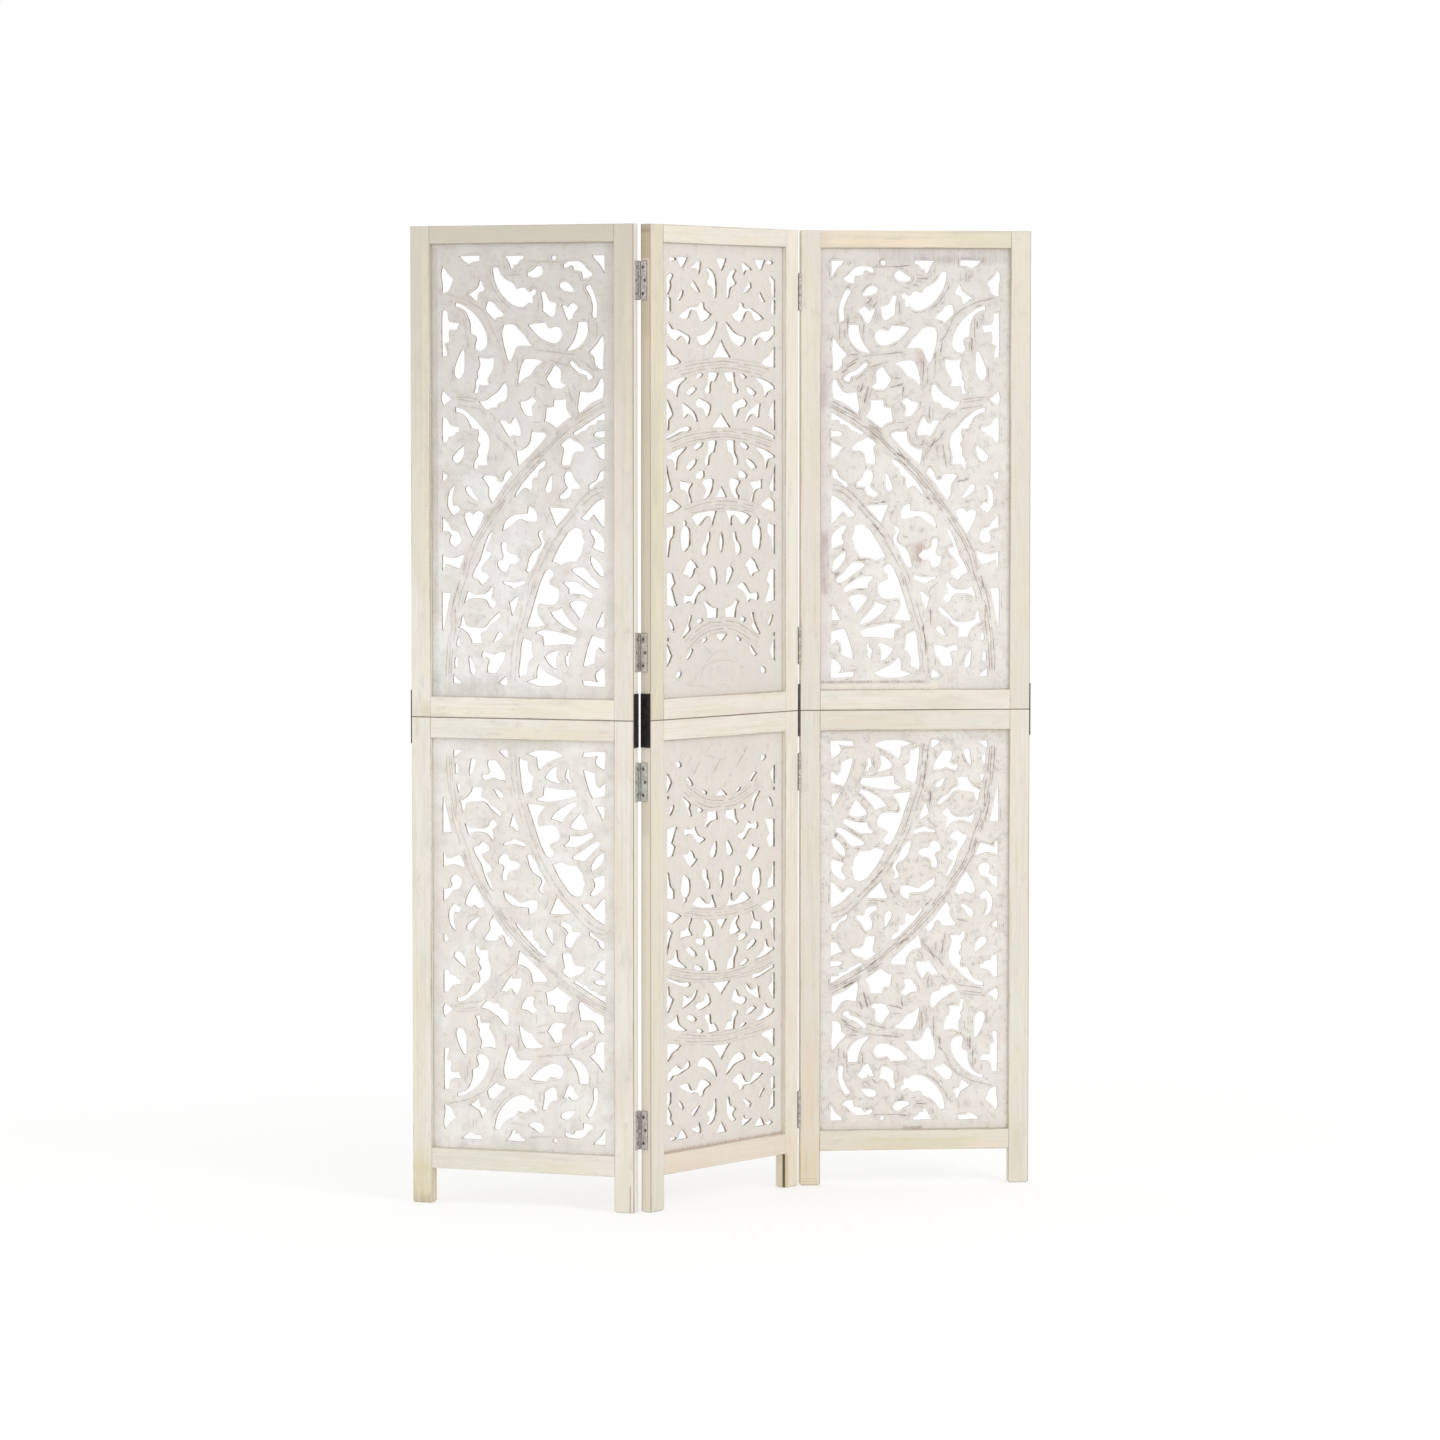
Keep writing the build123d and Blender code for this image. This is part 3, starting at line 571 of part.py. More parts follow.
loc = PANELS["centre"][0]
everything += write("left_hinge_pins", [hinge_pin(-1, True, z) for z in LEFT_HINGE_Z], loc)
everything += write("right_hinge_pins", [hinge_pin(1, False, z) for z in RIGHT_HINGE_Z], loc)

box = Compound(children=everything).bounding_box()
print("size", box.size, "centre", box.center())
print("left axis", LEFT_AXIS, "right axis", RIGHT_AXIS)
print("panel corners", O1, O2, O3)
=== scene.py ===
import math

import bpy
import numpy as np
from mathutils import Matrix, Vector, kdtree
from mathutils.geometry import delaunay_2d_cdt


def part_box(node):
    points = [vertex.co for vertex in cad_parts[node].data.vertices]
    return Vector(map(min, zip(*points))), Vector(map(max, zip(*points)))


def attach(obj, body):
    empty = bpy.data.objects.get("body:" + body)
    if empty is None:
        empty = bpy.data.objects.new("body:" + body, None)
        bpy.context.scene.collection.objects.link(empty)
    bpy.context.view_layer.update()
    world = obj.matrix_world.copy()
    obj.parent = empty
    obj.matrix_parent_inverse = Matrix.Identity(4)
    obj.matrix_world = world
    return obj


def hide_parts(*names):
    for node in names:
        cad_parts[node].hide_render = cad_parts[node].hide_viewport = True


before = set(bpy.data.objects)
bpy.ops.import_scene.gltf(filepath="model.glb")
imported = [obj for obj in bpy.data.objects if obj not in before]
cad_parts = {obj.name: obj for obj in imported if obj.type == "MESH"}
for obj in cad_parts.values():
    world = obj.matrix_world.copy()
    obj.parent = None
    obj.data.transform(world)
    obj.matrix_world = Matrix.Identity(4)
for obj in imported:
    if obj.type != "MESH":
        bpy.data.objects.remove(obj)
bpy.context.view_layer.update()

# ---------------------------------------------------------------- the panels
# origin of each panel's own frame (mm) and its heading (degrees):
# u runs along the panel to the right, v through it to the back, z is up
PANELS = {
    "left": ((-529.869, -52.4371), -20.0),
    "centre": ((-125.81, -181.509), 50.7),
    "right": ((131.504, 130.143), 5.5),
}
PANEL_W, PANEL_T, PANEL_H = 400.0, 21.0, 1650.0
SEAM_Z = 825.0
BOARD_FRONT, BOARD_BACK = 7.5, 13.5
VEIN = 3.7


def basis(panel):
    (ox, oy), a = PANELS[panel]
    a = math.radians(a)
    return np.array([ox, oy]), np.array([math.cos(a), math.sin(a)]), np.array([-math.sin(a), math.cos(a)])


def to_row(panel, uvz):
    """Panel millimetres to metres in the shared frame."""
    o, d, n = basis(panel)
    uvz = np.asarray(uvz, float)
    xy = o + uvz[:, :1] * d + uvz[:, 1:2] * n
    return np.column_stack([xy, uvz[:, 2]]) / 1000.0


def node_points(name, panel):
    """A CAD node's vertices in panel millimetres."""
    o, d, n = basis(panel)
    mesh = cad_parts[name].data
    co = np.zeros(len(mesh.vertices) * 3)
    mesh.vertices.foreach_get("co", co)
    co = co.reshape(-1, 3) * 1000.0
    xy = co[:, :2] - o
    return np.column_stack([xy @ d, xy @ n, co[:, 2]])


# ---------------------------------------------------------------- camera
cam_data = bpy.data.cameras.new("camera")
cam_data.lens = 132.25
cam_data.sensor_width = 36.0
cam_data.clip_end = 100.0
camera = bpy.data.objects.new("camera", cam_data)
camera.location = (-0.0984, -8.9757, 1.3317)
camera.rotation_euler = (math.radians(86.712), 0.0, math.radians(-0.574))
bpy.context.scene.collection.objects.link(camera)
bpy.context.scene.camera = camera
bpy.context.scene.view_settings.view_transform = "Standard"
bpy.context.scene.view_settings.look = "None"
bpy.context.scene.view_settings.exposure = 0.0
bpy.context.scene.view_settings.gamma = 1.0


# ---------------------------------------------------------------- carving lines
# strokes are in board millimetres: s from the frame opening's left side, t up from its lower side

def resample(points, step, closed=False):
    """Points along a smooth curve through the given ones, about a step apart."""
    p = np.asarray(points, float)
    n = len(p)
    if n == 2 and not closed:
        k = max(2, int(round(np.hypot(*(p[1] - p[0])) / step)) + 1)
        return p[0] + (p[1] - p[0]) * np.linspace(0, 1, k)[:, None]
    if closed:
        q = np.vstack([p[-1], p, p[0], p[1]])
        spans = n
    else:
        q = np.vstack([2 * p[0] - p[1], p, 2 * p[-1] - p[-2]])
        spans = n - 1
    out = []
    for i in range(spans):
        a, b, c, d = q[i], q[i + 1], q[i + 2], q[i + 3]
        k = max(1, int(round(np.hypot(*(c - b)) / step)))
        t = (np.arange(k) / k)[:, None]
        out.append(0.5 * (2 * b + (c - a) * t + (2 * a - 5 * b + 4 * c - d) * t ** 2 + (3 * b - a - 3 * c + d) * t ** 3))
    if not closed:
        out.append(p[-1:])
    return np.vstack(out)


def smooth_loop(points, step, corner=40.0):
    """A closed outline, resampled smoothly between its sharp corners."""
    p = np.asarray(points, float)
    e1 = p - np.roll(p, 1, axis=0)
    e2 = np.roll(p, -1, axis=0) - p
    turn = np.degrees(np.abs(np.arctan2(e1[:, 0] * e2[:, 1] - e1[:, 1] * e2[:, 0], (e1 * e2).sum(1))))
    corners = list(np.nonzero(turn > corner)[0])
    # the CAD outline's points are closer than the step in places: thin them out first
    def thin(run):
        keep = [0]
        for i in range(1, len(run) - 1):
            if np.hypot(*(run[i] - run[keep[-1]])) >= 0.75 * step and np.hypot(*(run[i] - run[-1])) >= 0.5 * step:
                keep.append(i)
        keep.append(len(run) - 1)
        return run[keep]
    if not corners:
        run = thin(np.vstack([p, p[:1]]))
        return resample(run[:-1], step, closed=True)
    out = []
    for i, c in enumerate(corners):
        e = corners[(i + 1) % len(corners)]
        run = p[c:e + 1] if e > c else np.vstack([p[c:], p[:e + 1]])
        run = thin(run)
        out.append(resample(run, step)[:-1])
    return np.vstack(out)


def board_loops(node, panel):
    """The outlines on a CAD board's front face, as rim first and then the openings, in board millimetres."""
    loc = node_points(node, panel)
    key, inverse = np.unique(np.round(loc, 3), axis=0, return_inverse=True)
    inverse = inverse.ravel()
    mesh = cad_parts[node].data
    tri = np.zeros(len(mesh.loops), int)
    mesh.loops.foreach_get("vertex_index", tri)
    tri = inverse[tri.reshape(-1, 3)]
    tri = tri[np.all(np.abs(key[tri][:, :, 1] - BOARD_FRONT) < 0.02, axis=1)]
    edges = np.vstack([tri[:, [0, 1]], tri[:, [1, 2]], tri[:, [2, 0]]])
    _, first, count = np.unique(np.sort(edges, axis=1), axis=0, return_index=True, return_counts=True)
    step = {int(a): int(b) for a, b in edges[first[count == 1]]}
    loops, seen = [], set()
    for start in sorted(step):
        if start in seen:
            continue
        loop, x = [], start
        while x not in seen:
            seen.add(x)
            loop.append(x)
            x = step[x]
        loops.append(key[loop][:, [0, 2]] - np.array([35.0, 860.0]))
    loops.sort(key=lambda l: -np.ptp(l[:, 0]) * np.ptp(l[:, 1]))
    return loops


def area(p):
    q = np.roll(p, -1, axis=0)
    return 0.5 * float((p[:, 0] * q[:, 1] - p[:, 1] * q[:, 0]).sum())


def inside(points, poly):
    """Which points lie in the polygon."""
    x, y = points[:, 0][:, None], points[:, 1][:, None]
    a, b = poly, np.roll(poly, -1, axis=0)
    up = (a[:, 1] > y) != (b[:, 1] > y)
    with np.errstate(divide="ignore", invalid="ignore"):
        cut = (b[:, 0] - a[:, 0]) * (y - a[:, 1]) / (b[:, 1] - a[:, 1]) + a[:, 0]
    return (up & (x < cut)).sum(1) % 2 == 1


def in_any(points, holes):
    """Which points lie in one of the openings."""
    out = np.zeros(len(points), bool)
    for h in holes:
        a, b = h.min(0), h.max(0)
        near = np.nonzero((points[:, 0] > a[0]) & (points[:, 0] < b[0]) & (points[:, 1] > a[1]) & (points[:, 1] < b[1]) & ~out)[0]
        if len(near):
            out[near[inside(points[near], h)]] = True
    return out


def tree_of(points):
    tree = kdtree.KDTree(len(points))
    for i, p in enumerate(points):
        tree.insert((p[0], p[1], 0.0), i)
    tree.balance()
    return tree


def nearest(tree, points):
    found = [tree.find((p[0], p[1], 0.0)) for p in points]
    return np.array([f[2] for f in found]), np.array([f[1] for f in found])


def offset_line(line, amount, wobble=0.0, seed=0.0, step=2.0):
    """A line beside the given one, a little unsteady, as a hand-held gouge leaves it."""
    p = resample(line, 6.0)
    tangent = np.gradient(p, axis=0)
    tangent /= np.maximum(np.hypot(tangent[:, 0], tangent[:, 1]), 1e-9)[:, None]
    run = np.concatenate([[0], np.cumsum(np.hypot(*np.diff(p, axis=0).T))])
    shake = wobble * (np.sin(run / 17.0 + seed * 3.1) + 0.6 * np.sin(run / 7.3 + seed * 5.7))
    normal = np.column_stack([-tangent[:, 1], tangent[:, 0]])
    return resample(p + normal * (amount + shake)[:, None], step)


def between(lower, upper, share, wobble=0.3, seed=0.0):
    """A line at a share of the way from a band's lower edge to its upper edge."""
    lo, hi = resample(lower, 6.0), resample(upper, 6.0)
    k = 40
    pick = lambda c: np.column_stack([np.interp(np.linspace(0, 1, k), np.linspace(0, 1, len(c)), c[:, j]) for j in (0, 1)])
    lo, hi = pick(lo), pick(hi)
    x = np.linspace(0, 1, k)
    shake = wobble * (np.sin(x * 19 + seed * 3.1) + 0.6 * np.sin(x * 43 + seed * 5.7))
    line = lo + (hi - lo) * share
    line[:, 1] += shake
    return resample(line, 2.0)


def broken(line, gaps, seed):
    """The line in pieces, with short untouched stretches."""
    rng = np.random.default_rng(seed)
    n = len(line)
    cuts = np.sort(rng.uniform(0.08, 0.92, gaps)) * n
    pieces, start = [], 0
    for c in cuts:
        end = int(c)
        if end - start > 6:
            pieces.append(line[start:end])
        start = end + int(rng.uniform(2, 5))
    if n - start > 6:
        pieces.append(line[start:])
    return pieces


def mirrored(line, axis=165.0):
    line = np.asarray(line, float)
    return np.column_stack([2 * axis - line[:, 0], line[:, 1]])


def blossom(centre, radius, turn, petals):
    """A few shallow cuts between a flower's petals."""
    out = []
    for i in range(petals):
        b = turn + 2 * math.pi * i / petals
        pts = [(centre[0] + r * math.cos(b + bend), centre[1] + r * math.sin(b + bend)) for r, bend in ((0.34 * radius, 0.0), (0.6 * radius, 0.1), (0.86 * radius, 0.05))]
        out.append((resample(pts, 2.0), 1.5, 0.4))
    return out


# each stroke: (line, half-width, depth) in millimetres
SIDE_OUTER = [(30, 30), (31, 60), (33, 90), (37, 120), (42, 150), (50, 180), (62, 220), (66, 235), (84, 268), (104, 300), (128, 332),
              (150, 360), (175, 388), (200, 412), (225, 437), (250, 457), (280, 477), (315, 494)]
SIDE_INNER = [(145, 25), (147, 55), (150, 90), (156, 115), (163, 140), (170, 165), (178, 190), (188, 213), (200, 236), (212, 260),
              (225, 280), (240, 297), (258, 315), (272, 331), (290, 345), (312, 352)]
SIDE_STROKES = [
    [(25, 678), (40, 673), (60, 668), (80, 658), (92, 650), (100, 640), (106, 625), (114, 610), (121, 600)],
    [(33, 668), (41, 660)], [(105, 700), (110, 690), (118, 678), (125, 668), (140, 655), (145, 651)], [(113, 672), (122, 663)],
    [(58, 640), (58, 620)], [(62, 630), (62, 600)], [(66, 610), (66, 585)], [(47, 650), (47, 610)],
    [(72, 720), (72, 700)], [(77, 720), (77, 700)], [(131, 730), (133, 715)], [(137, 727), (139, 717)],
    [(140, 707), (165, 710)], [(160, 697), (170, 699)],
    [(170, 733), (190, 730), (235, 729), (260, 731), (275, 725), (285, 715), (290, 710)], [(175, 722), (200, 723)],
    [(193, 670), (193, 645)], [(180, 632), (205, 630)], [(185, 583), (212, 580), (260, 575)], [(118, 605), (121, 590)],
    [(131, 570), (131, 540)], [(143, 575), (143, 565)], [(155, 575), (155, 535)],
    [(228, 672), (245, 655), (252, 660)], [(283, 640), (283, 610)], [(297, 640), (297, 600)],
    [(40, 505), (60, 504), (75, 502), (85, 500)], [(45, 501), (60, 499), (80, 496), (90, 499)],
    [(45, 492), (60, 489), (80, 486), (92, 483)], [(88, 485), (95, 478), (100, 472)], [(104, 480), (112, 472), (118, 462)],
    [(63, 450), (62, 440)], [(38, 560), (38, 530)], [(113, 447), (118, 440)], [(185, 538), (205, 538)],
    [(185, 530), (200, 524), (212, 522)], [(187, 525), (187, 500)], [(175, 455), (185, 448), (205, 443)], [(180, 462), (200, 462)],
    [(150, 440), (152, 425), (160, 420)], [(115, 445), (122, 435), (135, 425), (145, 415), (150, 405), (153, 395)],
    [(170, 395), (205, 410)], [(175, 385), (205, 403)], [(180, 397), (200, 413)], [(116, 410), (116, 395)],
    [(245, 525), (250, 505), (255, 493)], [(252, 528), (262, 512)], [(232, 440), (258, 458)], [(255, 448), (268, 458)],
    [(270, 475), (295, 490)], [(210, 567), (240, 558), (258, 553)], [(265, 568), (290, 550), (295, 545)],
    [(77, 255), (92, 282)], [(58, 215), (60, 235)], [(60, 330), (85, 322)], [(115, 312), (125, 325), (135, 335)],
    [(137, 325), (150, 340)], [(155, 350), (162, 362)], [(200, 315), (207, 300), (208, 290)], [(215, 325), (240, 322)],
    [(215, 262), (225, 270), (238, 288)], [(45, 175), (50, 200)], [(35, 145), (42, 180)], [(42, 120), (42, 150)],
    [(183, 180), (190, 205)], [(137, 115), (137, 140)], [(245, 175), (270, 173), (290, 168)],
]
# the right panel's boards are cut deeper: (line, depth)
RIGHT_STROKES = [
    ([(148, 716), (158, 714), (166, 717)], 0.6), ([(150, 703), (158, 705), (166, 703)], 0.6), ([(174, 690), (180, 693), (185, 692)], 0.8),
    ([(140, 709), (150, 710), (162, 708)], 0.9), ([(159, 696), (165, 698), (171, 699)], 0.9), ([(178, 732), (190, 730), (205, 729)], 0.9),
    ([(187, 722), (194, 724), (200, 723)], 0.7), ([(229, 671), (237, 663), (243, 656)], 0.8), ([(239, 677), (247, 669), (255, 662), (263, 656)], 0.9),
    ([(249, 671), (244, 664), (241, 658)], 0.6), ([(257, 673), (252, 665), (250, 658)], 0.6), ([(262, 700), (272, 691), (280, 680)], 0.5),
    ([(268, 690), (274, 683), (278, 672)], 0.45), ([(282, 600), (281, 620), (283, 652)], 0.7), ([(287, 625), (288, 614), (287, 604)], 0.8),
    ([(254, 640), (255, 624), (257, 608)], 0.8), ([(57, 638), (57, 622)], 0.7), ([(61, 646), (62, 626), (62, 606)], 0.8),
    ([(67, 610), (68, 596), (66, 580)], 0.8), ([(71, 604), (71, 582)], 0.7), ([(77, 606), (80, 594), (79, 582)], 0.6),
    ([(66, 722), (68, 706)], 0.5), ([(86, 722), (87, 702)], 0.5), ([(114, 611), (119, 604), (125, 599), (129, 596)], 1.0),
    ([(119, 602), (120, 590), (122, 580)], 1.0), ([(129, 590), (131, 574), (130, 560)], 0.8), ([(152, 570), (151, 550), (154, 530)], 1.0),
    ([(143, 560), (144, 540), (143, 525)], 0.6), ([(180, 633), (190, 634), (198, 633)], 0.5), ([(262, 579), (274, 578), (284, 581)], 0.7),
    ([(262, 572), (272, 568), (282, 562), (290, 559)], 0.8), ([(268, 566), (278, 560), (288, 556)], 0.9), ([(280, 555), (288, 549), (295, 545)], 0.7),
    ([(255, 546), (262, 540), (270, 533)], 0.7), ([(258, 552), (266, 545), (273, 540)], 0.6), ([(256, 538), (263, 532)], 0.5),
    ([(243, 560), (250, 555), (257, 551)], 0.7), ([(255, 531), (259, 520), (262, 511)], 1.0), ([(246, 527), (249, 516), (252, 505), (254, 494)], 1.0),
    ([(241, 524), (243, 512), (248, 502)], 0.7), ([(262, 529), (266, 519), (271, 512)], 0.6), ([(236, 518), (233, 508), (226, 503)], 0.6),
    ([(140, 492), (141, 478), (139, 464)], 0.8), ([(135, 490), (134, 476), (132, 466)], 0.5), ([(184, 532), (190, 526), (201, 524), (212, 521)], 0.8),
    ([(192, 538), (200, 538), (207, 537)], 0.8), ([(185, 528), (186, 512)], 0.8), ([(173, 521), (174, 506)], 0.5),
    ([(265, 470), (284, 478), (304, 483)], 0.5), ([(268, 477), (281, 484), (292, 490)], 0.9), ([(225, 445), (232, 450), (240, 453)], 0.9),
    ([(230, 434), (236, 440), (243, 444)], 0.9), ([(228, 440), (235, 446)], 0.8), ([(171, 390), (185, 402), (197, 418)], 0.9),
    ([(180, 396), (190, 404), (199, 410)], 0.8), ([(168, 384), (180, 392)], 0.6), ([(117, 426), (114, 404), (110, 384)], 0.9),
    ([(127, 425), (127, 400)], 0.6), ([(143, 396), (148, 405)], 0.7), ([(129, 437), (134, 425), (141, 414), (148, 404), (152, 392)], 0.8),
    ([(145, 435), (151, 437), (158, 437)], 0.5), ([(147, 430), (156, 428)], 0.5), ([(112, 451), (117, 443), (123, 438)], 0.8),
    ([(70, 367), (77, 363), (86, 361), (93, 360)], 0.9), ([(197, 374), (199, 364)], 0.9), ([(203, 373), (204, 361)], 0.7), ([(209, 371), (208, 360)], 0.7),
    ([(198, 341), (203, 337)], 0.7), ([(213, 325), (226, 325)], 0.9), ([(226, 329), (242, 328)], 0.6), ([(228, 322), (248, 323)], 0.7),
    ([(196, 319), (204, 315)], 0.7), ([(212, 311), (217, 303), (219, 291)], 0.8), ([(203, 311), (210, 300)], 0.6), ([(214, 258), (222, 268), (228, 276)], 0.8),
    ([(228, 276), (236, 284), (242, 290)], 1.0), ([(245, 294), (252, 301), (260, 309)], 0.6), ([(133, 318), (139, 327), (149, 335)], 0.7),
    ([(130, 297), (138, 303), (146, 307), (161, 309)], 0.6), ([(213, 226), (222, 224)], 0.8), ([(238, 225), (246, 229), (256, 231)], 0.9),
    ([(250, 221), (268, 220)], 0.6), ([(62, 160), (68, 165)], 0.4), ([(122, 187), (130, 182), (138, 174), (144, 163)], 0.6),
    ([(151, 116), (149, 98), (147, 82), (145, 58)], 1.15), ([(153, 112), (151, 98)], 0.9), ([(143, 62), (141, 46)], 0.7), ([(128, 62), (130, 38)], 0.7),
    ([(150, 138), (152, 122)], 0.6), ([(157, 138), (157, 124)], 0.5), ([(172, 118), (184, 119), (197, 122)], 0.8), ([(180, 114), (204, 115), (232, 111), (252, 107)], 0.6),
    ([(200, 89), (213, 90), (232, 92), (254, 91)], 0.5), ([(241, 199), (256, 197), (271, 192), (284, 184)], 0.7), ([(240, 192), (244, 186)], 0.8),
    ([(244, 175), (254, 174), (272, 173), (292, 169)], 0.7), ([(200, 157), (212, 156), (226, 156)], 0.5), ([(137, 110), (138, 128), (139, 146)], 0.8),
    ([(44, 170), (49, 183), (56, 196)], 0.6), ([(283, 108), (308, 107)], 0.6), ([(66, 62), (66, 44)], 0.6), ([(74, 66), (80, 56), (82, 44)], 0.7),
    ([(100, 198), (104, 208), (108, 222)], 0.4), ([(57, 300), (60, 330)], 0.35), ([(98, 330), (104, 320)], 0.4), ([(203, 230), (212, 246), (224, 262)], 0.5),
]
CENTRE_BANDS = [
    ([(65, 534), (105, 541), (130, 545), (165, 546)], [(20, 556), (50, 562), (140, 570), (165, 572)]),
    ([(30, 411), (70, 420), (110, 426), (165, 431)], [(20, 434), (78, 447), (140, 452), (165, 453)]),
    ([(90, 305), (145, 308), (165, 309)], [(50, 318), (80, 326), (115, 333), (165, 336)]),
    ([(70, 66), (85, 79), (120, 97), (165, 105)], [(60, 100), (80, 113), (125, 131), (165, 132)]),
]

# the plain domes at the seam: feathered leaves below it, a low mound with petals above it
LOWER_DOME = [
    ([(63, 14), (55, 20), (50, 29)], 0.6), ([(73, 14), (63, 24), (55, 33)], 0.6), ([(88, 23), (80, 30), (72, 42)], 0.6),
    ([(108, 32), (99, 43), (94, 51), (87, 61)], 0.8), ([(132, 11), (124, 18), (117, 26)], 0.7), ([(161, 35), (153, 45), (145, 54), (139, 63)], 0.8),
    ([(178, 14), (174, 22), (172, 30)], 0.6), ([(195, 2), (188, 8), (182, 12)], 0.5), ([(234, 15), (228, 23), (224, 28)], 1.1),
    ([(226, 27), (215, 38), (206, 50), (200, 55)], 0.8), ([(193, 61), (186, 66), (181, 70)], 0.8), ([(128, 63), (123, 70), (121, 79)], 0.6),
    ([(177, 77), (171, 85), (166, 89)], 0.9), ([(117, 27), (130, 27), (140, 30), (147, 34)], 0.6), ([(153, 35), (165, 35), (176, 34), (182, 29)], 0.6),
    ([(142, 2), (137, 6), (132, 9)], 0.5), ([(211, 14), (204, 23), (198, 29)], 0.5), ([(170, 46), (165, 52), (161, 57)], 0.4),
    ([(111, 48), (108, 54), (104, 59)], 0.5), ([(218, 22), (213, 28), (209, 35)], 0.5), ([(256, 10), (251, 16), (248, 22)], 0.4),
    ([(79, 44), (85, 52), (79, 61)], 0.5), ([(236, 43), (227, 53), (215, 65)], 0.5), ([(118, 12), (108, 22), (98, 30)], 0.5),
]
UPPER_DOME = [
    ([(57, 23), (84, 19), (111, 16), (138, 14)], 0.5), ([(128, 42), (135, 45), (142, 41)], 0.5), ([(149, 45), (157, 48), (165, 45)], 0.5),
    ([(149, 37), (153, 32), (155, 27)], 0.4), ([(169, 34), (173, 28), (171, 23)], 0.4), ([(184, 39), (192, 41), (200, 38)], 0.5),
    ([(215, 39), (218, 35), (220, 31)], 0.4), ([(115, 85), (126, 78), (142, 69)], 0.6), ([(144, 57), (161, 58), (176, 56)], 0.4),
    ([(184, 28), (192, 24), (200, 27)], 0.5), ([(126, 30), (132, 26), (138, 28)], 0.5), ([(149, 19), (165, 17), (184, 18)], 0.5),
]


def side_strokes(deep):
    """The side boards' carved lines; deep adds the right panel's heavier cuts."""
    out = []
    for k, off in enumerate((-4.6, 0.3, 4.6)):
        for line in broken(offset_line(SIDE_OUTER, off, 0.7, k), 6, 11 + k):
            out.append((line, 1.3, 0.5))
    for k, off in enumerate((-4.0, 3.9)):
        for line in broken(offset_line(SIDE_INNER, off, 0.7, 7 + k), 5, 31 + k):
            out.append((line, 1.3, 0.45))
    for s in SIDE_STROKES:
        out.append((resample(np.asarray(s, float), 2.0), 1.15, 0.5))
    if deep:
        out += [(resample(np.asarray(line, float), 2.0), 1.1, 0.75 * depth) for line, depth in RIGHT_STROKES]
    out += blossom((82, 144), 26, 0.4, 6)
    out += blossom((165, 262), 29, 0.1, 6)
    return [(np.asarray(l, float) - np.array([0.0, 1.0]), w, d) for l, w, d in out]


def centre_strokes(level):
    out = []
    for k, (lo, hi) in enumerate(CENTRE_BANDS):
        # each band runs on across the middle
        lo = list(lo) + [tuple(p) for p in mirrored(lo)[::-1][1:]]
        hi = list(hi) + [tuple(p) for p in mirrored(hi)[::-1][1:]]
        for j, share in enumerate((0.06, 0.27, 0.48, 0.7, 0.93)):
            for line in broken(between(lo, hi, share, 0.4, k * 4 + j), 2 if j in (1, 3) else 1, 50 + k * 4 + j):
                out.append((line, 1.1, 0.55 if j in (1, 3) else 0.4))
    if level == "lower":
        return out + [(resample(np.asarray(line, float), 2.0), 1.2, 0.7 * depth) for line, depth in LOWER_DOME]
    # a low mound and petals in the plain dome, barely cut
    out += [(resample(np.asarray(line, float), 2.0), 1.2, 0.6 * depth) for line, depth in UPPER_DOME]
    for rise, reach in ((34, 78), (50, 60)):
        line = [(165 - reach, 24), (165 - 0.72 * reach, 24 + 0.62 * rise), (165 - 0.3 * reach, 24 + 0.96 * rise), (165, 24 + rise),
                (165 + 0.3 * reach, 24 + 0.96 * rise), (165 + 0.72 * reach, 24 + 0.62 * rise), (165 + reach, 24)]
        for piece in broken(resample(line, 2.0), 3, 90 + rise):
            out.append((piece, 1.5, 0.35))
    for x in (-52, -30, -10, 12, 31, 50):
        out.append((resample([(165 + x, 30), (165 + 1.06 * x, 42), (165 + 1.02 * x, 52)], 2.0), 1.4, 0.3))
    return out


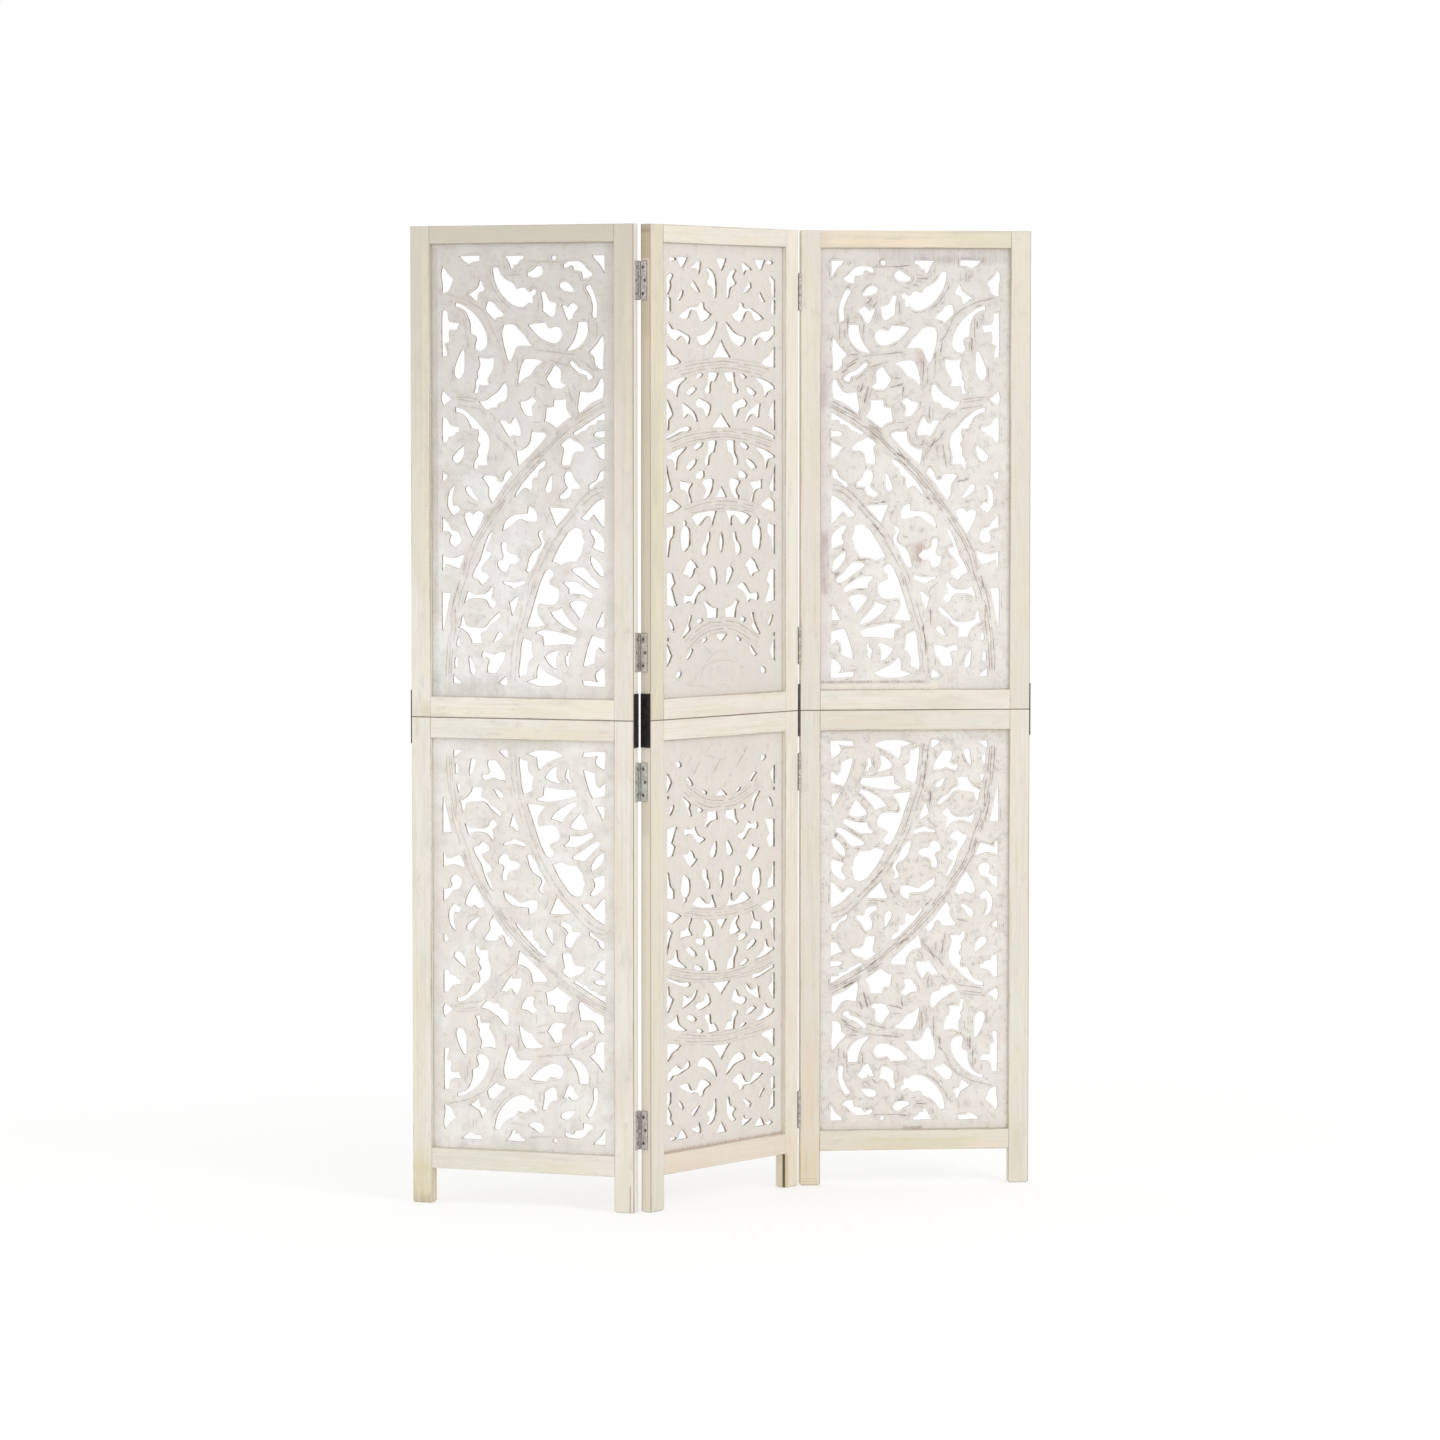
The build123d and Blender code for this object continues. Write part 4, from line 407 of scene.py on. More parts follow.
def prepared(loops, strokes, seed):
    """One board's face: points, triangles and how each point lies to the openings and the carving."""
    rng = np.random.default_rng(seed)
    rim_raw, holes_raw = loops[0], loops[1:]
    lo, hi = rim_raw.min(0), rim_raw.max(0)
    nx, ny = 34, 76
    rim = np.vstack([
        np.column_stack([np.linspace(lo[0], hi[0], nx, endpoint=False), np.full(nx, lo[1])]),
        np.column_stack([np.full(ny, hi[0]), np.linspace(lo[1], hi[1], ny, endpoint=False)]),
        np.column_stack([np.linspace(hi[0], lo[0], nx, endpoint=False), np.full(nx, hi[1])]),
        np.column_stack([np.full(ny, lo[0]), np.linspace(hi[1], lo[1], ny, endpoint=False)]),
    ])
    holes = []
    for h in holes_raw:
        h = smooth_loop(h, 2.0)
        if area(h) > 0:
            h = h[::-1]
        holes.append(h)
    dense = np.vstack([np.vstack([h + (np.roll(h, -1, axis=0) - h) * f for f in (0.0, 0.33, 0.66)]) for h in holes])
    hole_tree = tree_of(dense)

    points, edges = [rim], [(i, (i + 1) % len(rim)) for i in range(len(rim))]
    count = len(rim)
    for h in holes:
        edges += [(count + i, count + (i + 1) % len(h)) for i in range(len(h))]
        points.append(h)
        count += len(h)
    edge_count = count
    # rings just inside the material, for the rounded edge
    for gap in (0.45, 1.3, VEIN):
        ring = []
        for h in holes:
            e = np.roll(h, -1, axis=0) - np.roll(h, 1, axis=0)
            e /= np.maximum(np.hypot(e[:, 0], e[:, 1]), 1e-9)[:, None]
            ring.append(h + np.column_stack([-e[:, 1], e[:, 0]]) * gap)
        ring = np.vstack(ring)
        d, _ = nearest(hole_tree, ring)
        ring = ring[(d > (0.94 if gap == VEIN else 0.85) * gap)]
        ring = ring[~in_any(ring, holes)]
        if gap == VEIN:
            ring = ring[(ring[:, 0] > lo[0] + 9) & (ring[:, 0] < hi[0] - 9) & (ring[:, 1] > lo[1] + 9) & (ring[:, 1] < hi[1] - 9)]
            vein_ring = ring
            continue
        points.append(ring)
        count += len(ring)
    # the carved lines
    samples, sample_w, sample_d = [], [], []
    stroke_points = []
    for line, w, depth in strokes:
        line = np.asarray(line, float)
        d, _ = nearest(hole_tree, line)
        ok = (d > 1.5) & ~in_any(line, holes) & (line[:, 0] > 3) & (line[:, 0] < 327) & (line[:, 1] > 3) & (line[:, 1] < hi[1] - 10)
        i = 0
        while i < len(line):
            if not ok[i]:
                i += 1
                continue
            j = i
            while j + 1 < len(line) and ok[j + 1]:
                j += 1
            run = line[i:j + 1]
            i = j + 1
            if len(run) < 3:
                continue
            arc = np.concatenate([[0], np.cumsum(np.hypot(*np.diff(run, axis=0).T))])
            taper = np.minimum(np.clip(arc / 5.0, 0, 1), np.clip((arc[-1] - arc) / 5.0, 0, 1)) * 0.85 + 0.15
            tangent = np.gradient(run, axis=0)
            tangent /= np.maximum(np.hypot(tangent[:, 0], tangent[:, 1]), 1e-9)[:, None]
            normal = np.column_stack([-tangent[:, 1], tangent[:, 0]])
            edges += [(count + k, count + k + 1) for k in range(len(run) - 1)]
            points.append(run)
            count += len(run)
            stroke_points.append(run)
            side = np.vstack([run + normal * w, run - normal * w])
            ds, _ = nearest(hole_tree, side)
            side = side[ds > 0.8]
            side = side[~in_any(side, holes)]
            points.append(side)
            count += len(side)
            for f in (0.0, 0.5):
                nxt = np.vstack([run[1:], run[-1:]])
                samples.append(run + (nxt - run) * f)
                sample_w.append(np.full(len(run), w))
                sample_d.append(depth * taper)
    samples = np.vstack(samples)
    sample_w, sample_d = np.concatenate(sample_w), np.concatenate(sample_d)
    stroke_tree = tree_of(samples)
    # a loose fill for the wider places
    gx, gy = np.arange(lo[0] + 4, hi[0] - 3, 4.4), np.arange(lo[1] + 4, hi[1] - 3, 3.9)
    fill = np.array([(x + (2.2 if j % 2 else 0.0), y) for j, y in enumerate(gy) for x in gx])
    fill += rng.uniform(-0.7, 0.7, fill.shape)
    fill = fill[(fill[:, 0] < hi[0] - 3) & (fill[:, 0] > lo[0] + 3) & (fill[:, 1] < hi[1] - 3)]
    d, _ = nearest(hole_tree, fill)
    fill = fill[d > 2.9]
    fill = fill[~in_any(fill, holes)]
    d, _ = nearest(stroke_tree, fill)
    fill = fill[d > 2.4]
    d, _ = nearest(stroke_tree, vein_ring)
    vein_ring = vein_ring[d > 2.2]
    d, _ = nearest(tree_of(vein_ring), fill)
    fill = fill[d > 1.9]
    points += [vein_ring, fill]

    cloud = np.vstack(points)
    out = delaunay_2d_cdt([Vector((float(x), float(y))) for x, y in cloud], edges, [], 0, 1e-6, False)
    co = np.array([(v[0], v[1]) for v in out[0]])
    tri = np.array(out[2])
    # every triangle counter-clockwise as seen from the front
    e1, e2 = co[tri[:, 1]] - co[tri[:, 0]], co[tri[:, 2]] - co[tri[:, 0]]
    cross = e1[:, 0] * e2[:, 1] - e1[:, 1] * e2[:, 0]
    tri[cross < 0] = tri[cross < 0][:, ::-1]
    tri = tri[np.abs(cross) > 1e-9]
    # the outlines' points among the triangulated ones
    out_tree = tree_of(co)
    loop_of = np.full(len(co), -1)
    loops_out = []
    for k, l in enumerate([rim] + holes):
        _, idx = nearest(out_tree, l)
        loops_out.append(idx)
        loop_of[idx] = k
    # triangles in the openings go
    tri = tri[~in_any(co[tri].mean(1), holes)]

    dist, _ = nearest(hole_tree, co)
    dist[loop_of > 0] = 0.0
    ds, si = nearest(stroke_tree, co)
    x = np.clip(ds / sample_w[si], 0, 1)
    cut = (1 - x ** 2) ** 2
    groove = cut * sample_d[si]
    cut = cut * np.clip(sample_d[si] / 0.65, 0, 1.2)
    # a soft darkening round the cuts: partly thinner paint, partly painted shade of the carving
    wash_and_shade = np.exp(-ds / 3.0) * np.clip(sample_d[si] / 0.65, 0, 1.2)
    # the shallow cut that follows the openings, in some places only
    field = np.zeros(len(co))
    for length in (26.0, 37.0, 53.0):
        a, ph = rng.uniform(0, math.pi), rng.uniform(0, 6.28)
        field += np.sin((co[:, 0] * math.cos(a) + co[:, 1] * math.sin(a)) * 2 * math.pi / length + ph)
    veined = np.clip(0.45 + 0.75 * field, 0, 1) * np.clip(ds / 3.0, 0, 1)
    groove = groove + 0.32 * veined * np.exp(-((dist - VEIN) / 0.8) ** 2)
    print("board:", len(co), "points", len(tri), "triangles", len(holes), "openings", round(float(area(rim)), 1))
    return dict(co=co, tri=tri, loops=loops_out, dist=dist, cut=cut, wash_and_shade=wash_and_shade, veined=veined, groove=groove, on_edge=loop_of > 0, lo=lo, hi=hi)


def board_piece(name, panel, level, face, seed):
    """The carved board of one half panel, in place of its CAD node."""
    rng = np.random.default_rng(seed)
    co, tri = face["co"], face["tri"]
    s, t = co[:, 0], co[:, 1]
    d = face["dist"]
    round_over = 0.9 * (1 - np.sqrt(np.clip(1 - (1 - np.clip(d / 1.3, 0, 1)) ** 2, 0, 1)))
    crown = 0.5 * np.exp(-d / 3.5)
    # hand-worked surface, different on every board and face; quiet at the rim, which sits in the frame's groove
    rim = np.minimum.reduce([s - face["lo"][0], face["hi"][0] - s, t - face["lo"][1], face["hi"][1] - t])
    quiet = np.clip((rim - 8.5) / 6.0, 0, 1)

    def waves(amount, lengths):
        w = np.zeros(len(co))
        for length in lengths:
            a, ph = rng.uniform(0, math.pi), rng.uniform(0, 6.28)
            w += np.sin((s * math.cos(a) + t * math.sin(a)) * 2 * math.pi / length + ph)
        return amount * w / len(lengths)

    faces_v = []
    for side in (0, 1):
        depth = round_over + crown + face["groove"] * rng.uniform(0.9, 1.1)
        uneven = waves(0.55, (21, 27, 34, 46, 71)) + 0.12
        depth = depth + np.clip(uneven, 0, 1)
        depth = depth * quiet
        faces_v.append(np.clip(depth, 0, 2.6))
    front, back = BOARD_FRONT + faces_v[0], BOARD_BACK - faces_v[1]

    if panel == "centre":
        z = 860.0 + t if level == "upper" else 115.2 + (735.0 - t) * 0.908
    else:
        z = 860.0 + t if level == "upper" else 769.5 - (t - 23.0) * 0.92
    u = 365.0 - s if panel == "right" else 35.0 + s
    # the rim lies exactly on this board's own rim
    box = node_points(name, panel)
    b_lo, b_hi = box.min(0), box.max(0)
    on_rim = face["loops"][0]
    r_lo, r_hi = (u[on_rim].min(), z[on_rim].min()), (u[on_rim].max(), z[on_rim].max())
    u, z = u.copy(), z.copy()
    for arr, old, new in ((u, r_lo[0], b_lo[0]), (u, r_hi[0], b_hi[0]), (z, r_lo[1], b_lo[2]), (z, r_hi[1], b_hi[2])):
        pick = on_rim[np.abs(arr[on_rim] - old) < 1e-3]
        arr[pick] = new

    n = len(co)
    verts = np.vstack([np.column_stack([u, front, z]), np.column_stack([u, back, z])])
    walls = []
    for idx in face["loops"]:
        nxt = np.roll(idx, -1)
        walls.append(np.column_stack([idx, idx + n, nxt + n, nxt]))
    walls = np.vstack(walls)
    back_tri = tri[:, ::-1] + n
    flip = (panel == "right") != (level == "lower")
    if flip:
        tri, back_tri, walls = tri[:, ::-1], back_tri[:, ::-1], walls[:, ::-1]
    mesh = bpy.data.meshes.new(name + "_carved")
    xyz = to_row(panel, verts)
    total = len(tri) * 2 + len(walls)
    mesh.vertices.add(2 * n)
    mesh.vertices.foreach_set("co", xyz.astype(np.float32).ravel())
    corners = np.concatenate([tri.ravel(), back_tri.ravel(), walls.ravel()])
    mesh.loops.add(len(corners))
    mesh.loops.foreach_set("vertex_index", corners.astype(np.int32))
    sizes = np.concatenate([np.full(2 * len(tri), 3), np.full(len(walls), 4)])
    starts = np.concatenate([[0], np.cumsum(sizes)[:-1]])
    mesh.polygons.add(total)
    mesh.polygons.foreach_set("loop_start", starts.astype(np.int32))
    mesh.polygons.foreach_set("loop_total", sizes.astype(np.int32))
    mesh.update(calc_edges=True)
    mesh.validate()
    for key, value in (
        ("cut", np.tile(face["cut"] * quiet, 2)),
        ("edge", np.tile(np.exp(-d / 1.6), 2)),
        ("wall", np.tile(np.where(face["on_edge"], 1.0, 0.0), 2)),
        ("wash_and_shade", np.tile(face["wash_and_shade"] * quiet, 2)),
        ("veined", np.tile(face["veined"] * quiet, 2)),
        ("inset", np.tile(d, 2)),
    ):
        attribute = mesh.attributes.new(key, "FLOAT", "POINT")
        attribute.data.foreach_set("value", value.astype(np.float32))
    mesh.shade_smooth()
    mesh.set_sharp_from_angle(angle=math.radians(48))
    piece = bpy.data.objects.new(name + "_carved", mesh)
    bpy.context.scene.collection.objects.link(piece)
    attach(piece, panel + "_panel")
    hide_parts(name)
    return piece


# ---------------------------------------------------------------- materials

def lin(r, g, b):
    f = lambda c: c / 12.92 if c <= 0.04045 else ((c + 0.055) / 1.055) ** 2.4
    return (f(r / 255.0), f(g / 255.0), f(b / 255.0), 1.0)


class Graph:
    """A material and short ways to add its nodes."""

    def __init__(self, name):
        self.mat = bpy.data.materials.new(name)
        self.mat.use_nodes = True
        self.tree = self.mat.node_tree
        self.tree.nodes.clear()
        out = self.tree.nodes.new("ShaderNodeOutputMaterial")
        self.bsdf = self.tree.nodes.new("ShaderNodeBsdfPrincipled")
        self.tree.links.new(self.bsdf.outputs[0], out.inputs["Surface"])

    def put(self, socket, value):
        if isinstance(value, bpy.types.NodeSocket):
            self.tree.links.new(value, socket)
        else:
            socket.default_value = value

    def node(self, kind, **props):
        n = self.tree.nodes.new(kind)
        for k, v in props.items():
            setattr(n, k, v)
        return n

    def math(self, op, a, b=0.0, c=0.0, clamp=False):
        n = self.node("ShaderNodeMath", operation=op, use_clamp=clamp)
        for s, v in zip(n.inputs, (a, b, c)):
            self.put(s, v)
        return n.outputs[0]

    def mul(self, *xs):
        out = xs[0]
        for x in xs[1:]:
            out = self.math("MULTIPLY", out, x)
        return out

    def span(self, x, lo, hi, a=0.0, b=1.0):
        n = self.node("ShaderNodeMapRange", interpolation_type="SMOOTHSTEP", clamp=True)
        if lo > hi:
            lo, hi, a, b = hi, lo, b, a
        for key, value in (("Value", x), ("From Min", lo), ("From Max", hi), ("To Min", a), ("To Max", b)):
            self.put(n.inputs[key], value)
        return n.outputs[0]

    def mix(self, f, a, b, blend="MIX"):
        n = self.node("ShaderNodeMix", data_type="RGBA", blend_type=blend, clamp_factor=True)
        self.put(n.inputs[0], f)
        self.put(n.inputs[6], a)
        self.put(n.inputs[7], b)
        return n.outputs[2]

    def stretch(self, vec, scale, offset):
        n = self.node("ShaderNodeVectorMath", operation="MULTIPLY_ADD")
        self.put(n.inputs[0], vec)
        self.put(n.inputs[1], scale)
        self.put(n.inputs[2], offset)
        return n.outputs[0]

    def noise(self, vec, size, seed, detail=3.0, rough=0.5, bend=0.0):
        """Noise with features of the given size, in the vector's own units."""
        if not isinstance(size, tuple):
            size = (size, size, size)
        v = self.stretch(vec, tuple(1.0 / s for s in size), (seed * 7.31, seed * 3.77, seed * 5.13))
        n = self.node("ShaderNodeTexNoise")
        self.put(n.inputs["Vector"], v)
        n.inputs["Scale"].default_value = 1.0
        n.inputs["Detail"].default_value = detail
        n.inputs["Roughness"].default_value = rough
        n.inputs["Distortion"].default_value = bend
        return n.outputs["Fac"] if "Fac" in n.outputs else n.outputs[0]

    def split(self, vec):
        n = self.node("ShaderNodeSeparateXYZ")
        self.put(n.inputs[0], vec)
        return n.outputs[0], n.outputs[1], n.outputs[2]

    def local(self, panel):
        """Panel millimetres (u, v, z) of the point being shaded."""
        (ox, oy), deg = PANELS[panel]
        a = math.radians(-deg)
        coords = self.node("ShaderNodeTexCoord")
        n = self.node("ShaderNodeMapping", vector_type="POINT")
        self.put(n.inputs["Vector"], coords.outputs["Object"])
        n.inputs["Location"].default_value = (
            -(math.cos(a) * ox - math.sin(a) * oy), -(math.sin(a) * ox + math.cos(a) * oy), 0.0)
        n.inputs["Rotation"].default_value = (0.0, 0.0, a)
        n.inputs["Scale"].default_value = (1000.0, 1000.0, 1000.0)
        return n.outputs[0]

    def attribute(self, name):
        n = self.node("ShaderNodeAttribute", attribute_type="GEOMETRY", attribute_name=name)
        return n.outputs["Fac"]

    def bump(self, height, strength, distance, under=None):
        n = self.node("ShaderNodeBump")
        n.inputs["Strength"].default_value = strength
        n.inputs["Distance"].default_value = distance
        self.put(n.inputs["Height"], height)
        if under is not None:
            self.put(n.inputs["Normal"], under)
        return n.outputs[0]


def near_edge(g, x, lo, hi):
    """How far x is inside lo..hi."""
    return g.math("MINIMUM", g.math("SUBTRACT", x, lo), g.math("SUBTRACT", hi, x))


def outside(g, x, lo, hi):
    """How far x is outside lo..hi."""
    return g.math("MAXIMUM", g.math("MAXIMUM", g.math("SUBTRACT", lo, x), g.math("SUBTRACT", x, hi)), 0.0)


def patches(g, colour, u, z, ragged, streak, places, reach=(1.0, 1.0)):
    """Listed stained patches and painted shadows: (u from, u to, z from, z to, softness, colour, amount), with ragged,
    streaky borders.
    reach says how much further the softness runs along u and along z."""
    for u0, u1, z0, z1, soft, tone, amount in places:
        du = g.math("DIVIDE", outside(g, u, u0, u1), reach[0])
        dz = g.math("DIVIDE", outside(g, z, z0, z1), reach[1])
        away = g.math("SQRT", g.math("ADD", g.math("MULTIPLY", du, du), g.math("MULTIPLY", dz, dz)))
        away = g.math("ADD", away, g.math("MULTIPLY", g.math("SUBTRACT", ragged, 0.5), 2.4 * soft))
        away = g.math("ADD", away, g.math("MULTIPLY", g.math("SUBTRACT", streak, 0.5), 3.0 * soft))
        colour = g.mix(g.span(away, 1.3 * soft, -1.0 * soft, 0.0, amount), colour, lin(*tone))
    return colour


def frame_wood(name, panel, box, upright, seed, tint):
    """Limewashed frame wood: brushed paint over grain, rubbed through at the edges, with dirt in the joints, and
    painted shade in the inner corner, round the hinge leaves and, where asked, towards the top.
    """
    lo, hi = box
    g = Graph(name)
    p = g.local(panel)
    u, v, z = g.split(p)
    du, dv, dz = near_edge(g, u, lo[0], hi[0]), near_edge(g, v, lo[1], hi[1]), near_edge(g, z, lo[2], hi[2])
    if upright:
        across, along = du, dz
        fine, wide, patch, blot = (0.9, 0.9, 60.0), (4.5, 4.5, 240.0), (24.0, 24.0, 95.0), (13.0, 13.0, 30.0)
    else:
        across, along = dz, du
        fine, wide, patch, blot = (60.0, 0.9, 0.9), (240.0, 4.5, 4.5), (95.0, 24.0, 24.0), (30.0, 13.0, 13.0)
    edge = g.math("MAXIMUM", across, dv)

    n_fine = g.noise(p, fine, seed + 0.1, 3.0, 0.6)
    n_wide = g.noise(p, wide, seed + 0.7, 3.0, 0.55)
    n_patch = g.noise(p, patch, seed + 1.3, 2.0, 0.5)
    n_patch2 = g.noise(p, tuple(x * 1.2 for x in patch), seed + 2.9, 2.0, 0.5)
    n_patch3 = g.noise(p, tuple(x * 0.8 for x in patch), seed + 6.1, 2.0, 0.5)
    n_blot = g.noise(p, blot, seed + 3.7, 4.0, 0.6)
    n_speck = g.noise(p, 2.6, seed + 4.3, 3.0, 0.6)

    colour = g.mix(g.span(n_patch, 0.44, 0.64, 0.0, tint.get("yellow", 0.5)), lin(*tint.get("base", (226, 221, 210))), lin(220, 211, 183))
    colour = g.mix(g.span(n_patch2, 0.5, 0.68, 0.0, tint.get("pink", 0.4)), colour, lin(224, 210, 200))
    colour = g.mix(g.span(n_patch3, 0.5, 0.68, 0.0, tint.get("green", 0.35)), colour, lin(212, 211, 198))
    # the brushed streaks: lighter and greyer lines along the wood
    colour = g.mix(g.span(n_wide, 0.46, 0.7, 0.0, tint.get("streak", 0.4)), colour, lin(205, 197, 182))
    colour = g.mix(g.span(n_fine, 0.54, 0.76, 0.0, tint.get("grain", 0.34)), colour, lin(188, 176, 155))
    colour = g.mix(g.span(n_fine, 0.46, 0.3, 0.0, 0.3), colour, lin(236, 233, 226))
    # a greyer film, in clouds
    colour = g.mix(g.span(n_blot, 0.52, 0.8, 0.0, tint.get("grey", 0.35)), colour, lin(184, 178, 164))
    # painted shade: darker towards the top
    if tint.get("top_grey"):
        colour = g.mix(g.span(g.math("ADD", z, g.mul(n_blot, 200.0)), 1000.0, 1750.0, 0.0, tint["top_grey"]), colour, lin(192, 186, 170))
    colour = patches(g, colour, u, z, n_blot, n_wide, tint.get("stains_and_shadows", ()), (1.0, 6.0) if upright else (6.0, 1.0))
    # rubbed edges, then a broken dark line on the edge itself
    worn = g.span(g.math("ADD", edge, g.mul(g.math("SUBTRACT", n_blot, 0.5), 8.0)), 2.0, 0.1, 0.0, 0.6)
    worn = g.mul(worn, g.span(n_wide, 0.4, 0.62))
    colour = g.mix(worn, colour, lin(178, 164, 142))
    dark = g.mul(g.span(edge, 1.3, 0.3), g.span(n_speck, 0.5, 0.64), tint.get("line", 0.5))
    colour = g.mix(dark, colour, lin(120, 104, 84))
    # the outer face of a stile, where less paint went on
    for at, tone, amount in tint.get("faces", ()):
        face = g.mul(g.span(g.math("ABSOLUTE", g.math("SUBTRACT", u, at)), 0.9, 0.4), g.span(g.math("ADD", n_wide, g.mul(n_blot, 0.6)), 0.5, 0.85, 1.0 - tint.get("face_gap", 0.5), 1.0), amount)
        colour = g.mix(face, colour, lin(*tone))
    # painted shade, with some dirt, in the corner beside the carved board, and a thin dark line on the opening's own
    # edge
    inner = tint.get("inner")
    if inner is not None:
        axis = u if upright else z
        off = g.math("ABSOLUTE", g.math("SUBTRACT", axis, inner))
        front, back = g.math("ABSOLUTE", g.math("SUBTRACT", v, BOARD_FRONT)), g.math("ABSOLUTE", g.math("SUBTRACT", v, BOARD_BACK))
        corner = g.math("MAXIMUM", off, g.math("MINIMUM", front, back))
        grime_and_corner_shade = g.mul(g.span(g.math("ADD", corner, g.mul(n_speck, 1.2)), 1.9, 0.6), g.span(n_wide, 0.36, 0.6, 0.6, 1.0), tint.get("corner", 0.6))
        grime_and_corner_shade = g.math("MAXIMUM", grime_and_corner_shade, g.mul(g.span(g.math("MAXIMUM", off, g.math("MINIMUM", v, g.math("SUBTRACT", PANEL_T, v))), 1.5, 0.4), g.span(n_wide, 0.36, 0.6, 0.2, 1.0), tint.get("arris", 0.4)))
        colour = g.mix(grime_and_corner_shade, colour, lin(134, 121, 98))
    joint = g.mul(g.span(along, 1.1, 0.25), g.span(n_speck, 0.3, 0.6, 0.45, 1.0), tint.get("joint", 0.55))
    colour = g.mix(joint, colour, lin(104, 90, 72))
    # dark outlines round the hinge leaves let into the outer face: partly dirt, partly painted contact shadow
    for at, v0, v1, z0, z1 in tint.get("leaves", ()):
        away = g.math("MAXIMUM", outside(g, v, v0, v1), outside(g, z, z0, z1))
        line = g.mul(g.span(away, 1.6, 0.5), g.span(g.math("ABSOLUTE", g.math("SUBTRACT", u, at)), 1.6, 0.8), g.span(n_speck, 0.34, 0.56, 0.5, 1.0), 0.8)
        colour = g.mix(line, colour, lin(92, 72, 54))
    for u0, u1, v0, v1, z0, z1, tone, amount, fade in tint.get("lines", ()):
        away = g.math("MAXIMUM", g.math("MAXIMUM", outside(g, u, u0, u1), outside(g, v, v0, v1)), g.math("DIVIDE", outside(g, z, z0, z1), fade))
        line = g.mul(g.span(g.math("ADD", away, g.mul(n_speck, 0.8)), 1.4, 0.3), amount)
        colour = g.mix(line, colour, lin(*tone))
    g.put(g.bsdf.inputs["Base Color"], colour)
    g.put(g.bsdf.inputs["Roughness"], g.span(g.math("ADD", n_fine, g.mul(n_blot, 0.5)), 0.5, 1.0, 0.6, 0.82))
    g.bsdf.inputs["Specular IOR Level"].default_value = 0.3
    height = g.math("ADD", g.mul(n_fine, 0.8), g.math("ADD", g.mul(n_wide, 0.7), g.mul(n_speck, 0.3)))
    n1 = g.bump(height, 0.45, 0.0004)
    n2 = g.bump(worn, 0.25, -0.0003, n1)
    g.put(g.bsdf.inputs["Normal"], n2)
    return g.mat


def gouge_marks(g, p, cell, seed):
    """Fine parallel tool marks that turn another way on each leaf of the carving."""
    bend = g.node("ShaderNodeTexNoise")
    g.put(bend.inputs["Vector"], g.stretch(p, (0.05, 0.05, 0.05), (seed, seed * 2.0, seed * 3.0)))
    bend.inputs["Scale"].default_value = 1.0
    bend.inputs["Detail"].default_value = 2.0
    q = g.stretch(bend.outputs["Color"], (16.0, 0.0, 16.0), p)
    vor = g.node("ShaderNodeTexVoronoi", feature="F1")
    g.put(vor.inputs["Vector"], g.stretch(q, (1.0 / cell, 0.0, 1.0 / cell), (seed * 1.7, 0.0, seed * 0.9)))
    vor.inputs["Scale"].default_value = 1.0
    parts = g.node("ShaderNodeSeparateColor")
    g.put(parts.inputs[0], vor.outputs["Color"])
    turn = g.node("ShaderNodeVectorRotate", rotation_type="AXIS_ANGLE")
    turn.inputs["Axis"].default_value = (0.0, 1.0, 0.0)
    g.put(turn.inputs["Vector"], q)
    g.put(turn.inputs["Angle"], g.math("MULTIPLY", parts.outputs[0], math.pi))
    lines = g.noise(turn.outputs[0], (1.5, 400.0, 30.0), seed + 8.0, 2.0, 0.5)
    shade = parts.outputs[1]
    return lines, shade


